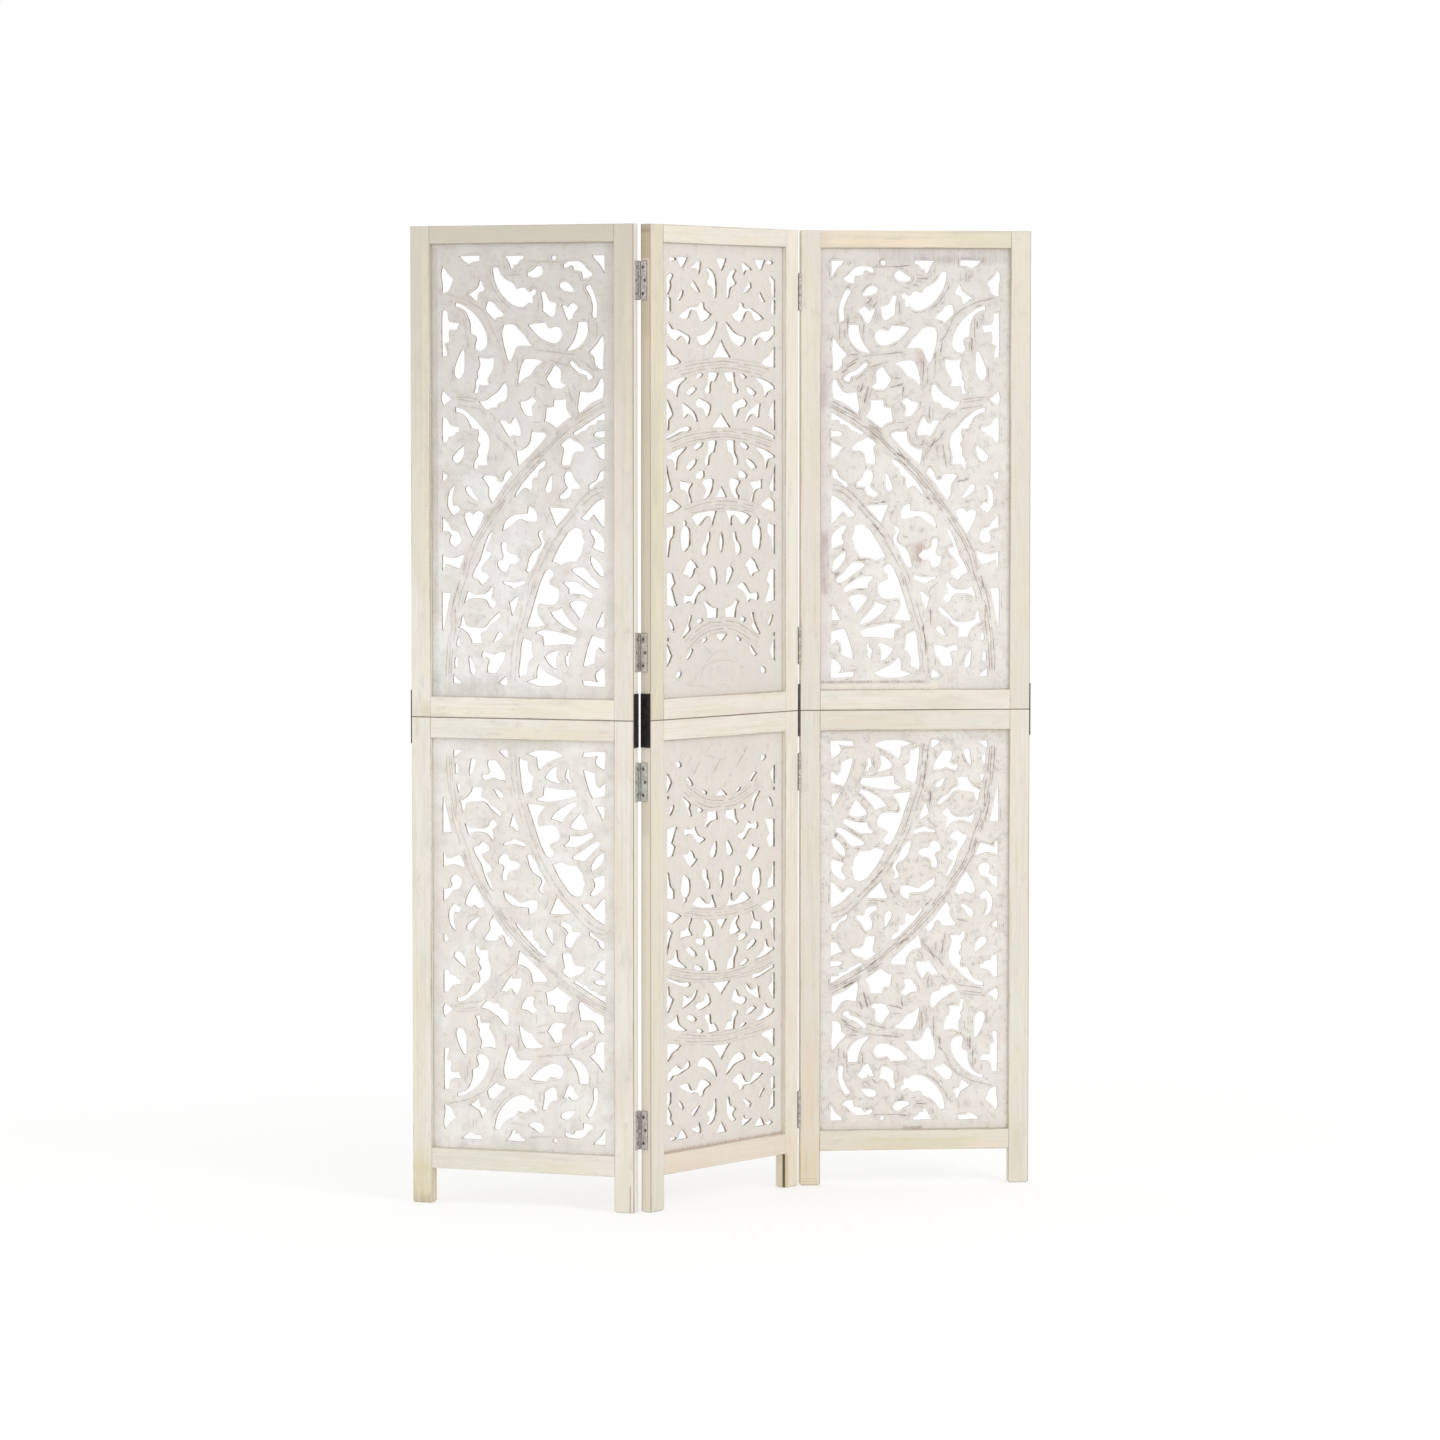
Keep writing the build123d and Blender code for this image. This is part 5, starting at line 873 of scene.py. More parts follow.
def fret_wood(name, panel, box, seed, tint):
    """The carved boards: chalky paint, bare darker wood in the cut walls and grooves, and painted shade beside the
    cuts, along the frame and, where asked, towards the top.
    """
    lo, hi = box
    g = Graph(name)
    p = g.local(panel)
    u, v, z = g.split(p)
    cut, edge, wall = g.attribute("cut"), g.attribute("edge"), g.attribute("wall")
    wash_and_shade, veined, inset = g.attribute("wash_and_shade"), g.attribute("veined"), g.attribute("inset")
    rim = g.math("MINIMUM", near_edge(g, u, lo[0] + 7.5, hi[0] - 7.5), near_edge(g, z, lo[2] + 7.5, hi[2] - 7.5))

    n_cloud = g.noise(p, 60.0, seed + 0.3, 2.0, 0.5)
    n_cloud2 = g.noise(p, tint.get("mottle", 42.0), seed + 1.9, 3.0, 0.55)
    n_cloud3 = g.noise(p, 0.8 * tint.get("mottle", 42.0), seed + 5.5, 3.0, 0.55)
    n_grain = g.noise(p, (1.6, 1.6, 46.0), seed + 2.3, 3.0, 0.55)
    n_blot = g.noise(p, 10.0, seed + 3.1, 4.0, 0.6)
    n_speck = g.noise(p, 2.2, seed + 4.7, 3.0, 0.6)
    marks, facet = gouge_marks(g, p, 21.0, seed)
    gain = g.span(z, *tint["rise"]) if "rise" in tint else 1.0

    colour = g.mix(g.span(n_cloud, 0.42, 0.62, 0.0, tint.get("warm", 0.7)), lin(*tint.get("base", (227, 224, 219))), lin(222, 215, 204))
    colour = g.mix(g.span(n_cloud2, 0.48, 0.66, 0.0, tint.get("pink", 0.6)), colour, lin(*tint.get("cloud", (220, 210, 207))))
    colour = g.mix(g.span(n_cloud3, 0.5, 0.64, 0.0, tint.get("green", 0.5)), colour, lin(*tint.get("moss", (212, 214, 207))))
    colour = g.mix(g.span(facet, 0.1, 0.9, 0.0, 0.3), colour, lin(214, 209, 203))
    colour = g.mix(g.span(n_grain, 0.52, 0.74, 0.0, 0.22), colour, lin(190, 180, 166))
    # tool marks and paint rubbed thin, here and there
    some = g.mul(g.span(n_blot, 0.42, 0.62), g.span(n_cloud2, 0.36, 0.56, 0.15, 1.0))
    hatch = g.mul(g.span(marks, 0.56, 0.68), some, tint.get("hatch", 0.4), 0.6, gain)
    # strokes of the gouge that run along the leaves' outlines
    follow = g.math("SINE", g.math("ADD", g.math("MULTIPLY", inset, 2.05), g.mul(n_blot, 10.0)))
    follow = g.mul(g.span(follow, 0.3, 0.95), g.span(g.math("ADD", n_blot, g.mul(n_cloud3, 0.9)), 0.98, 1.14), g.span(inset, 1.2, 2.2), tint.get("follow", 0.4), gain)
    hatch = g.math("MAXIMUM", hatch, follow)
    colour = g.mix(hatch, colour, lin(*tint.get("hatch_tone", (164, 150, 136))))
    # thinner, darker paint in and beside the cuts, partly painted shade of the carving
    colour = g.mix(g.mul(wash_and_shade, g.span(n_blot, 0.3, 0.6, 0.35, 1.0), tint.get("wash_and_shade", 0.3), gain), colour, lin(*tint.get("wash_and_shade_tone", (186, 174, 160))))
    rub = g.mul(g.span(n_blot, 0.56, 0.78), g.span(n_cloud, 0.36, 0.6, 0.15, 1.0), tint.get("rub", 0.3))
    colour = g.mix(rub, colour, lin(184, 171, 155))
    # painted shade: darker towards the top
    if tint.get("top_grey"):
        colour = g.mix(g.span(g.math("ADD", z, g.mul(n_cloud, 200.0)), tint.get("top_shade_from", 1000.0), 1720.0, 0.0, tint["top_grey"]), colour, lin(190, 186, 180))
    colour = patches(g, colour, u, z, n_blot, n_grain, tint.get("stains_and_shadows", ()), tint.get("reach", (3.0, 3.0)))
    # the board's border, against the frame: painted shade, with some dirt, in the corner where it goes into the frame
    grime_and_corner_shade = g.mul(g.span(g.math("ADD", rim, g.mul(n_speck, 1.6)), 2.2, 0.8), g.span(n_blot, 0.34, 0.6, 0.45, 1.0), tint.get("border", 0.5))
    colour = g.mix(grime_and_corner_shade, colour, lin(132, 119, 98))
    # edges, grooves and cut walls
    colour = g.mix(g.mul(g.span(edge, 0.45, 1.0), g.span(n_blot, 0.34, 0.6, 0.3, 1.0), tint.get("edge", 0.3)), colour, lin(180, 169, 154))
    vein = g.math("ABSOLUTE", g.math("SUBTRACT", g.math("ADD", inset, g.mul(g.math("SUBTRACT", n_blot, 0.5), 1.4)), VEIN))
    vein = g.mul(g.span(vein, 0.85, 0.15), veined, g.span(n_speck, 0.3, 0.55, 0.4, 1.0), g.span(g.math("ADD", n_blot, n_cloud), 0.88, 1.12, 0.05, 1.0), tint.get("vein", 0.5), gain)
    cut_line = g.mul(g.span(cut, 0.2, 0.85), g.span(n_cloud3, 0.38, 0.56, 0.55, 1.0), g.span(n_blot, 0.3, 0.55, 0.55, 1.0), tint.get("cut", 0.9))
    colour = g.mix(g.math("MAXIMUM", vein, cut_line), colour, lin(*tint.get("cut_tone", (158, 146, 130))))
    side = g.mix(g.span(n_blot, 0.4, 0.62), lin(*tint.get("wall_light", (186, 172, 154))), lin(*tint.get("wall_dark", (136, 120, 102))))
    colour = g.mix(g.span(wall, 0.45, 0.95), colour, side)
    g.put(g.bsdf.inputs["Base Color"], colour)
    g.put(g.bsdf.inputs["Roughness"], g.span(g.math("ADD", n_blot, g.mul(n_grain, 0.5)), 0.5, 1.0, 0.68, 0.88))
    g.bsdf.inputs["Specular IOR Level"].default_value = 0.25
    height = g.math("ADD", g.mul(n_grain, 0.7), g.math("ADD", g.mul(n_blot, 0.4), g.mul(n_speck, 0.3)))
    n1 = g.bump(height, 0.4, 0.0004)
    n2 = g.bump(g.mul(g.span(marks, 0.5, 0.7), some), 0.5, -0.0005, n1)
    g.put(g.bsdf.inputs["Normal"], n2)
    return g.mat


def hinge_steel(name, seed, light, dark, dull=(132, 124, 116), metallic=0.7, axis=None, joints=(), crease_shade_tone=(74, 58, 46), painted=None):
    """Galvanised sheet: soft spangle, dull patches, and painted shade, dark brown, along the barrel and between its
    knuckles.
    """
    g = Graph(name)
    coords = g.node("ShaderNodeTexCoord")
    p = g.stretch(coords.outputs["Object"], (1000.0, 1000.0, 1000.0), (seed * 13.0, 0.0, 0.0))
    vor = g.node("ShaderNodeTexVoronoi", feature="F1")
    g.put(vor.inputs["Vector"], p)
    vor.inputs["Scale"].default_value = 0.3
    vor.inputs["Randomness"].default_value = 1.0
    grey = g.node("ShaderNodeSeparateColor")
    g.put(grey.inputs[0], vor.outputs["Color"])
    spangle = grey.outputs[0]
    n_a = g.noise(p, 7.0, seed, 4.0, 0.6)
    n_b = g.noise(p, 1.4, seed + 2.0, 3.0, 0.6)
    colour = g.mix(g.span(spangle, 0.0, 1.0, 0.0, 0.7), lin(*light), lin(*dark))
    colour = g.mix(g.span(n_a, 0.47, 0.66, 0.0, 0.65), colour, lin(*dull))
    colour = g.mix(g.mul(g.span(n_b, 0.58, 0.74), 0.6), colour, lin(120, 96, 76))
    shine = metallic
    if axis:
        x, y, z = g.split(g.stretch(coords.outputs["Object"], (1000.0, 1000.0, 1000.0), (-axis[0], -axis[1], 0.0)))
        r = g.math("SQRT", g.math("ADD", g.math("MULTIPLY", x, x), g.math("MULTIPLY", y, y)))
        # painted shade in the fold beside the barrel and in the gaps between the knuckles
        crease_shade = g.mul(g.span(g.math("ABSOLUTE", g.math("SUBTRACT", g.math("ADD", r, g.mul(n_b, 0.6)), axis[2] + 0.75)), 0.75, 0.2), 0.85)
        for at in joints:
            gap = g.span(g.math("ABSOLUTE", g.math("SUBTRACT", g.math("ADD", z, g.mul(n_b, 0.8)), at + 0.4)), 0.95, 0.35)
            crease_shade = g.math("MAXIMUM", crease_shade, g.mul(gap, g.span(r, axis[2] + 1.0, axis[2] + 0.4), 0.85))
        crease_shade = g.mul(crease_shade, g.span(n_a, 0.3, 0.5, 0.55, 1.0))
        colour = g.mix(crease_shade, colour, lin(*crease_shade_tone))
        shine = g.math("MULTIPLY", g.math("SUBTRACT", 1.0, crease_shade), metallic)
    if painted:
        # the screws of the dark hinges are as dark as their plates
        _, _, z = g.split(p)
        dark_part = g.span(g.math("ABSOLUTE", g.math("SUBTRACT", z, painted)), 66.0, 64.0)
        colour = g.mix(dark_part, colour, g.mix(g.span(n_a, 0.36, 0.66), lin(17, 11, 10), lin(34, 25, 21)))
        shine = g.math("MULTIPLY", g.math("SUBTRACT", 1.0, dark_part), metallic)
    g.put(g.bsdf.inputs["Base Color"], colour)
    g.put(g.bsdf.inputs["Metallic"], shine)
    g.put(g.bsdf.inputs["Roughness"], g.span(g.math("ADD", g.mul(spangle, 0.4), n_a), 0.3, 1.1, 0.36, 0.6))
    g.put(g.bsdf.inputs["Normal"], g.bump(g.math("ADD", g.mul(n_b, 0.6), g.mul(n_a, 0.8)), 0.35, 0.0002))
    return g.mat


def dark_bronze(name, seed):
    """The fold hinges' dark painted plates, with the paint chipped to bare brown metal in places."""
    g = Graph(name)
    coords = g.node("ShaderNodeTexCoord")
    p = g.stretch(coords.outputs["Object"], (1000.0, 1000.0, 1000.0), (seed * 11.0, 0.0, 0.0))
    n_a = g.noise(p, 8.0, seed, 4.0, 0.6)
    n_b = g.noise(p, 1.6, seed + 2.0, 4.0, 0.65)
    colour = g.mix(g.span(n_a, 0.36, 0.66), lin(17, 11, 10), lin(32, 23, 20))
    chip = g.span(g.math("ADD", n_b, g.mul(n_a, 0.4)), 0.82, 0.9)
    colour = g.mix(g.mul(chip, 0.5), colour, lin(96, 76, 60))
    g.put(g.bsdf.inputs["Base Color"], colour)
    g.put(g.bsdf.inputs["Roughness"], g.span(g.math("ADD", n_a, g.mul(n_b, 0.5)), 0.5, 1.0, 0.42, 0.68))
    g.put(g.bsdf.inputs["Metallic"], g.mul(chip, 0.6))
    g.put(g.bsdf.inputs["Normal"], g.bump(g.math("SUBTRACT", g.mul(n_b, 0.6), chip), 0.4, 0.0002))
    return g.mat


def dress(obj, material):
    obj.data.materials.clear()
    obj.data.materials.append(material)


# ---------------------------------------------------------------- the carved boards
left_face = prepared(board_loops("left_upper_fret", "left"), side_strokes(False), 5)
right_face = prepared(board_loops("left_upper_fret", "left"), side_strokes(True), 7)
# the lower centre board has the upper one's layout turned over, at its own height
turned_over = [np.column_stack([l[:, 0], 735.0 - (l[:, 1] + 860.0 - 115.2) / 0.908]) for l in board_loops("centre_lower_fret", "centre")]
centre_faces = {"upper": prepared(board_loops("centre_upper_fret", "centre"), centre_strokes("upper"), 6),
                "lower": prepared(turned_over, centre_strokes("lower"), 6)}

# how each board has aged, and where shade is painted on it, from the photograph
FRET_TINTS = {
    # left upper board: its first two stained patches are a painted shadow of the frame along its left margin
    ("left", "upper"): dict(base=(231, 229, 227), warm=0.4, pink=0.6, green=0.6, hatch=0.28, follow=0.42, vein=0.56, wash_and_shade=0.4, edge=0.36, cut=0.8, rise=(900.0, 1620.0, 0.5, 1.5), top_grey=0.62, stains_and_shadows=(
        (35, 46, 1000, 1612, 0.5, (186, 179, 168), 0.75), (35, 45, 860, 1000, 1.0, (196, 190, 180), 0.5), (35, 150, 860, 880, 7, (174, 173, 165), 0.5),
        (150, 330, 864, 876, 6, (188, 187, 182), 0.35), (352, 365, 860, 1615, 3, (205, 198, 184), 0.5))),
    ("left", "lower"): dict(base=(231, 229, 225), warm=0.45, pink=0.5, green=0.5, hatch=0.16, follow=0.24, vein=0.34, wash_and_shade=0.24, edge=0.22, cut=0.75, stains_and_shadows=(
        (35, 44, 95, 790, 3, (204, 199, 188), 0.5), (90, 260, 778, 790, 5, (200, 195, 184), 0.5),
        (120, 300, 95, 106, 5, (208, 204, 196), 0.5))),
    ("centre", "upper"): dict(base=(216, 211, 204), warm=0.35, pink=0.6, green=0.3, hatch=0.14, follow=0.16, vein=0.35, wash_and_shade=0.25, cut_tone=(150, 139, 127),
        wall_light=(188, 176, 159), wall_dark=(138, 124, 107), stains_and_shadows=(
        (120, 290, 862, 905, 9, (211, 205, 198), 0.5),)),
    ("centre", "lower"): dict(base=(221, 215, 207), warm=0.35, pink=0.55, green=0.3, hatch=0.14, follow=0.16, vein=0.35, wash_and_shade=0.25, cut_tone=(150, 139, 127),
        wall_light=(188, 176, 159), wall_dark=(138, 124, 107), stains_and_shadows=(
        (110, 280, 740, 785, 9, (211, 205, 198), 0.5), (35, 365, 95, 97, 1.2, (170, 132, 112), 0.6))),
    # right upper board: painted shade towards the top
    ("right", "upper"): dict(base=(228, 226, 221), warm=0.3, pink=0.6, green=0.5, cloud=(222, 213, 210), moss=(216, 218, 211), top_grey=0.3, top_shade_from=1150.0, rise=(860.0, 1620.0, 0.9, 1.5), hatch=0.42, follow=0.42, vein=0.6, wash_and_shade=0.5, edge=0.16, mottle=30.0, wash_and_shade_tone=(192, 182, 176),
        hatch_tone=(160, 148, 140), wall_light=(208, 199, 187), wall_dark=(170, 158, 146), cut_tone=(120, 107, 96), stains_and_shadows=(
        (35, 45, 874, 1600, 2.5, (214, 202, 206), 0.7), (35, 44, 1030, 1130, 3, (158, 138, 124), 0.55), (35, 43, 1350, 1400, 3, (168, 150, 148), 0.5),
        (140, 365, 1602, 1615, 4, (190, 186, 182), 0.75), (200, 320, 1598, 1603, 2, (168, 160, 152), 0.6),
        (203, 211, 1082, 1108, 3, (160, 122, 106), 0.7), (206, 214, 1424, 1440, 3, (178, 146, 136), 0.55), (124, 138, 1294, 1310, 3, (166, 150, 128), 0.5),
        (35, 215, 872, 874, 0.9, (132, 112, 98), 0.75), (35, 240, 860, 868, 1.5, (232, 226, 212), 0.7), (300, 365, 862, 876, 4, (208, 207, 201), 0.6))),
    ("right", "lower"): dict(base=(228, 225, 220), warm=0.4, pink=0.6, green=0.45, cloud=(222, 213, 209), moss=(216, 217, 209), hatch=0.5, follow=0.5, vein=0.55, wash_and_shade=0.5, edge=0.16, mottle=30.0, wash_and_shade_tone=(184, 174, 166), rise=(100.0, 780.0, 1.0, 1.35),
        hatch_tone=(150, 139, 130), wall_light=(208, 199, 187), wall_dark=(170, 158, 146), cut_tone=(126, 113, 101), stains_and_shadows=(
        (35, 37, 95, 98, 1.2, (112, 90, 70), 0.8), (363, 365, 95, 99, 1.2, (112, 90, 70), 0.8), (35, 365, 96, 104, 4, (216, 207, 196), 0.6), (173, 177, 140, 147, 3, (110, 90, 76), 0.8), (182, 212, 97, 98.5, 1.2, (132, 112, 96), 0.7),
        (300, 365, 774, 790, 5, (198, 192, 187), 0.6), (60, 200, 778, 790, 4, (209, 202, 191), 0.6))),
}
boards = []
for i, panel in enumerate(PANELS):
    for j, level in enumerate(("upper", "lower")):
        name = f"{panel}_{level}_fret"
        piece = board_piece(name, panel, level, (left_face, centre_faces[level], right_face)[i], 100 + 10 * i + j)
        box = node_points(name, panel)
        dress(piece, fret_wood(name + "_paint", panel, (box.min(0), box.max(0)), 3.0 + 5.0 * i + 2.3 * j, FRET_TINTS[(panel, level)]))
        boards.append(piece)

# ---------------------------------------------------------------- the frames
# how each member has aged, and the painted shade on the left panel's frame, from the photograph
FRAME_TINTS = {
    # the left panel's frame: painted shade towards the top
    "left": dict(base=(226, 222, 213), yellow=0.32, pink=0.35, green=0.4, grey=0.4, streak=0.45, joint=0.28, face_gap=0.3, top_grey=0.72),
    "centre": dict(base=(226, 220, 210), yellow=0.4, pink=0.45, green=0.25, grey=0.3, streak=0.35, joint=0.28, face_gap=0.2, line=0.35),
    "right": dict(base=(221, 216, 206), yellow=0.35, pink=0.4, green=0.35, grey=0.3, streak=0.35, joint=0.34, face_gap=0.3),
}
YELLOW, ORANGE, TAN, OLIVE = (221, 212, 184), (227, 211, 188), (206, 190, 162), (208, 206, 188)
PART_TINTS = {
    # the left panel's upper top rail is darker and its upper bottom rail lighter: painted shade and painted light, the
    # panel being darker towards the top
    ("left", "upper", "top_rail"): dict(base=(205, 201, 188)),
    ("left", "upper", "right_stile"): dict(base=(221, 216, 207)),
    ("left", "upper", "bottom_rail"): dict(base=(232, 227, 217)),
    ("centre", "upper", "left_stile"): dict(base=(209, 200, 180), yellow=0.55),
    ("centre", "lower", "left_stile"): dict(base=(218, 212, 200)),
    ("centre", "upper", "right_stile"): dict(base=(230, 225, 215), corner=0.3, arris=0.25),
    ("centre", "lower", "right_stile"): dict(base=(230, 224, 213), corner=0.3, arris=0.25),
    ("centre", "lower", "bottom_rail"): dict(base=(221, 212, 197)),
    ("right", "upper", "top_rail"): dict(base=(207, 199, 180)),
    ("right", "upper", "right_stile"): dict(base=(216, 211, 200)),
    ("right", "upper", "bottom_rail"): dict(base=(228, 223, 214)),
}
FRAME_STAINS = {
    ("left", "lower", "left_stile"): ((0, 35, -5, 62, 8, (209, 195, 158), 0.95), (0, 14, 80, 400, 7, YELLOW, 0.5), (0, 30, 0, 5, 2, (166, 156, 140), 0.5)),
    ("left", "lower", "right_stile"): ((365, 380, -5, 40, 6, (222, 209, 194), 0.5), (366, 384, 500, 620, 7, YELLOW, 0.35)),
    ("left", "lower", "top_rail"): ((190, 290, 792, 808, 6, YELLOW, 0.6),),
    ("left", "upper", "bottom_rail"): ((200, 330, 832, 855, 8, YELLOW, 0.4), (35, 60, 826, 831, 3, (178, 167, 149), 0.5)),
    ("left", "lower", "bottom_rail"): ((70, 160, 62, 86, 8, OLIVE, 0.5), (240, 320, 62, 77, 6, YELLOW, 0.4)),
    ("left", "upper", "left_stile"): ((0, 18, 1100, 1310, 8, OLIVE, 0.5), (23, 32, 900, 1600, 2.5, YELLOW, 0.5), (0, 35, 826, 838, 3, (196, 184, 162), 0.5), (10, 35, 1618, 1648, 7, (208, 203, 189), 0.6)),
    ("centre", "upper", "left_stile"): ((20, 35, 900, 1540, 4, YELLOW, 0.55), (0, 12, 1440, 1620, 5, ORANGE, 0.5)),
    ("centre", "lower", "left_stile"): ((0, 18, 200, 680, 6, YELLOW, 0.4), (0, 35, -5, 30, 5, OLIVE, 0.5)),
    ("centre", "lower", "bottom_rail"): ((60, 340, 62, 92, 6, (225, 210, 195), 0.7), (50, 150, 62, 76, 5, (221, 199, 178), 0.5)),
    ("centre", "upper", "top_rail"): ((160, 365, 1626, 1648, 6, (223, 211, 200), 0.5),),
    ("centre", "lower", "right_stile"): ((370, 400, 230, 590, 8, (226, 211, 196), 0.5), (365, 400, -5, 80, 7, (219, 206, 180), 0.7)),
    ("centre", "upper", "right_stile"): ((370, 400, 1240, 1600, 8, (228, 219, 204), 0.4),),
    ("right", "upper", "top_rail"): ((60, 230, 1624, 1648, 6, (234, 219, 196), 0.7), (90, 180, 1624, 1631, 4, (228, 206, 178), 0.5), (250, 350, 1624, 1642, 7, YELLOW, 0.5)),
    ("left", "upper", "right_stile"): ((387, 393, 1250, 1600, 2.5, YELLOW, 0.5), (380, 398, 1560, 1640, 5, (196, 188, 172), 0.5), (366, 380, 1100, 1330, 6, (222, 212, 203), 0.5)),
    ("right", "upper", "left_stile"): ((0, 16, 1290, 1560, 7, (225, 222, 204), 0.5), (0, 35, 1590, 1645, 8, OLIVE, 0.3)),
    ("right", "lower", "left_stile"): ((4, 28, 80, 250, 9, (228, 209, 186), 0.55), (10, 24, 130, 235, 5, (225, 196, 164), 0.5), (0, 30, -5, 62, 7, (221, 205, 174), 0.85),
                                       (8, 12, 8, 58, 1.5, (206, 188, 152), 0.5), (31, 35, -5, 70, 1.5, (222, 218, 202), 0.6)),
    ("right", "lower", "right_stile"): ((370, 395, -5, 90, 8, (217, 211, 192), 0.6), (374, 388, 35, 80, 6, (196, 184, 160), 0.5)),
    ("right", "lower", "bottom_rail"): ((40, 360, 62, 92, 8, (220, 212, 190), 0.5), (130, 280, 62, 79, 6, (208, 197, 162), 0.6), (300, 350, 62, 74, 4, (228, 211, 188), 0.5)),
    ("right", "lower", "top_rail"): ((80, 190, 801, 815, 6, (216, 205, 184), 0.6),),
    ("right", "upper", "bottom_rail"): ((190, 280, 832, 846, 6, (209, 201, 184), 0.5),),
}
# the outer faces of the stiles, as (panel, part): tone and amount
OUTER_FACES = {
    ("left", "left_stile"): ((208, 200, 180), 0.6), ("left", "right_stile"): ((238, 234, 226), 0.7),
    ("centre", "left_stile"): ((206, 196, 178), 0.7), ("centre", "right_stile"): ((210, 199, 178), 0.6),
    ("right", "left_stile"): ((210, 199, 176), 0.6), ("right", "right_stile"): ((208, 200, 180), 0.6),
}
HINGES = {
    ("left", "right_stile"): [f"left_hinge_{k}_left_leaf" for k in (1, 2, 3, 4)],
    ("centre", "left_stile"): [f"left_hinge_{k}_centre_leaf" for k in (1, 2, 3, 4)],
    ("centre", "right_stile"): [f"right_hinge_{k}_centre_leaf" for k in (1, 2, 3, 4)],
    ("right", "left_stile"): [f"right_hinge_{k}_right_leaf" for k in (1, 2, 3, 4)],
}
# dark lines and bare places on single faces: u, v and z from and to, tone, amount, fade along z
LINES = {
    ("left", "right_stile"): ((399.2, 400.6, -0.5, 1.1, 0, 1650, (132, 120, 102), 0.75, 1.0),),
    ("left", "lower", "right_stile"): ((392.5, 393.5, -0.5, 1.0, -1, 42, (120, 100, 78), 0.6, 6.0),),
    ("centre", "left_stile"): ((-0.5, 0.6, 19.4, 21.5, 0, 1650, (136, 123, 103), 0.6, 1.0), (-0.6, 0.9, -0.5, 1.1, 0, 1650, (146, 138, 120), 0.6, 1.0)),
    ("centre", "upper", "left_stile"): ((-0.5, 0.6, 1.5, 20.0, 1596, 1640, (174, 158, 132), 0.65, 5.0), (-0.5, 0.6, 1.5, 20.0, 1638, 1650, (140, 118, 106), 0.45, 4.0),
                                        (-0.5, 0.6, 1.5, 20.0, 1470, 1524, (176, 172, 146), 0.5, 12.0), (-0.5, 0.6, 1.5, 20.0, 1300, 1470, (196, 184, 166), 0.35, 30.0)),
    ("centre", "lower", "left_stile"): ((-0.5, 0.6, 1.5, 20.0, 640, 688, (190, 178, 158), 0.35, 20.0),),
    ("centre", "lower", "right_stile"): ((363.5, 366.0, 0.8, 6.2, -1, 58, (80, 60, 34), 0.95, 2.0), (363.5, 366.0, 6.4, 22.0, -1, 60, (214, 203, 178), 0.6, 2.0),
                                         (365.6, 373.5, -0.5, 0.8, -1, 56, (204, 184, 150), 0.7, 6.0)),
    ("right", "right_stile"): ((399.2, 400.6, -0.5, 1.2, 0, 1650, (148, 140, 114), 0.6, 1.0), (-0.6, 0.9, -0.5, 0.9, 0, 1650, (168, 155, 136), 0.4, 1.0)),
    ("right", "lower", "left_stile"): tuple((0.8, 30.0, -0.5, 0.8, z, z + 0.8, (198, 176, 142), 0.6, 1.0) for z in (1.5, 6.5, 11.5)),
}


def leaf_places(panel, part, lo, hi):
    """Where the hinge leaves lie on a stile's outer face."""
    at = 0.0 if part == "left_stile" else PANEL_W
    out = []
    for leaf in HINGES.get((panel, part), ()):
        pts = node_points(leaf, panel)
        pts = pts[(np.abs(pts[:, 0] - at) < 1.6) & (pts[:, 1] > 0.5) & (pts[:, 1] < PANEL_T - 0.5)]
        if len(pts) and pts[:, 2].min() > lo[2] and pts[:, 2].max() < hi[2]:
            out.append((at, float(pts[:, 1].min()), float(pts[:, 1].max()), float(pts[:, 2].min()), float(pts[:, 2].max())))
    return out


seed = 1.0
for panel in PANELS:
    for level in ("upper", "lower"):
        for part in ("left_stile", "right_stile", "top_rail", "bottom_rail"):
            name = f"{panel}_{level}_{part}"
            box = node_points(name, panel)
            lo, hi = box.min(0), box.max(0)
            tint = dict(FRAME_TINTS[panel], stains_and_shadows=FRAME_STAINS.get((panel, level, part), ()))
            if part == "left_stile":
                tint["inner"] = float(hi[0])
            elif part == "right_stile":
                tint["inner"] = float(lo[0])
            elif part == "top_rail":
                tint["inner"] = float(lo[2])
            else:
                tint["inner"] = float(hi[2])
            if "stile" in part:
                tone, amount = OUTER_FACES[(panel, part)]
                tint["faces"] = ((0.0 if part == "left_stile" else PANEL_W, tone, amount),)
                tint["leaves"] = leaf_places(panel, part, lo, hi)
            tint.update(PART_TINTS.get((panel, level, part), {}))
            if panel == "centre" and part == "left_stile" and level == "lower":
                tint["faces"] = ((0.0, (224, 215, 201), 0.6),)
            tint["lines"] = LINES.get((panel, part), ()) + LINES.get((panel, level, part), ())
            if part not in ("top_rail" if level == "upper" else "bottom_rail",):
                # painted shade of the gap where the upper frame meets the lower one: a dark line across the faces at
                # the seam
                tint["lines"] += ((-5.0, 405.0, -5.0, 26.0, SEAM_Z - 0.5, SEAM_Z + 0.5, (112, 99, 84), 0.85, 1.0),)
            dress(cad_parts[name], frame_wood(name + "_paint", panel, (lo, hi), "stile" in part, seed, tint))
            seed += 1.37

# ---------------------------------------------------------------- the metal
# the pins' axes (x, y, barrel radius) and the tone of each hinge: light, dark, dull
AXES = {"left": (-144.622, -168.179, 2.4), "right": (130.103, 127.998, 2.4)}
STEELS = {
    "left_1": ((225, 221, 218), (191, 187, 184), (164, 157, 152)), "left_2": ((226, 223, 216), (194, 190, 184), (172, 165, 157)),
    "left_3": ((224, 227, 220), (194, 198, 190), (172, 171, 162)), "left_4": ((226, 222, 220), (196, 192, 190), (172, 164, 160)),
    "right": ((240, 236, 228), (218, 212, 204), (180, 171, 161)),
}


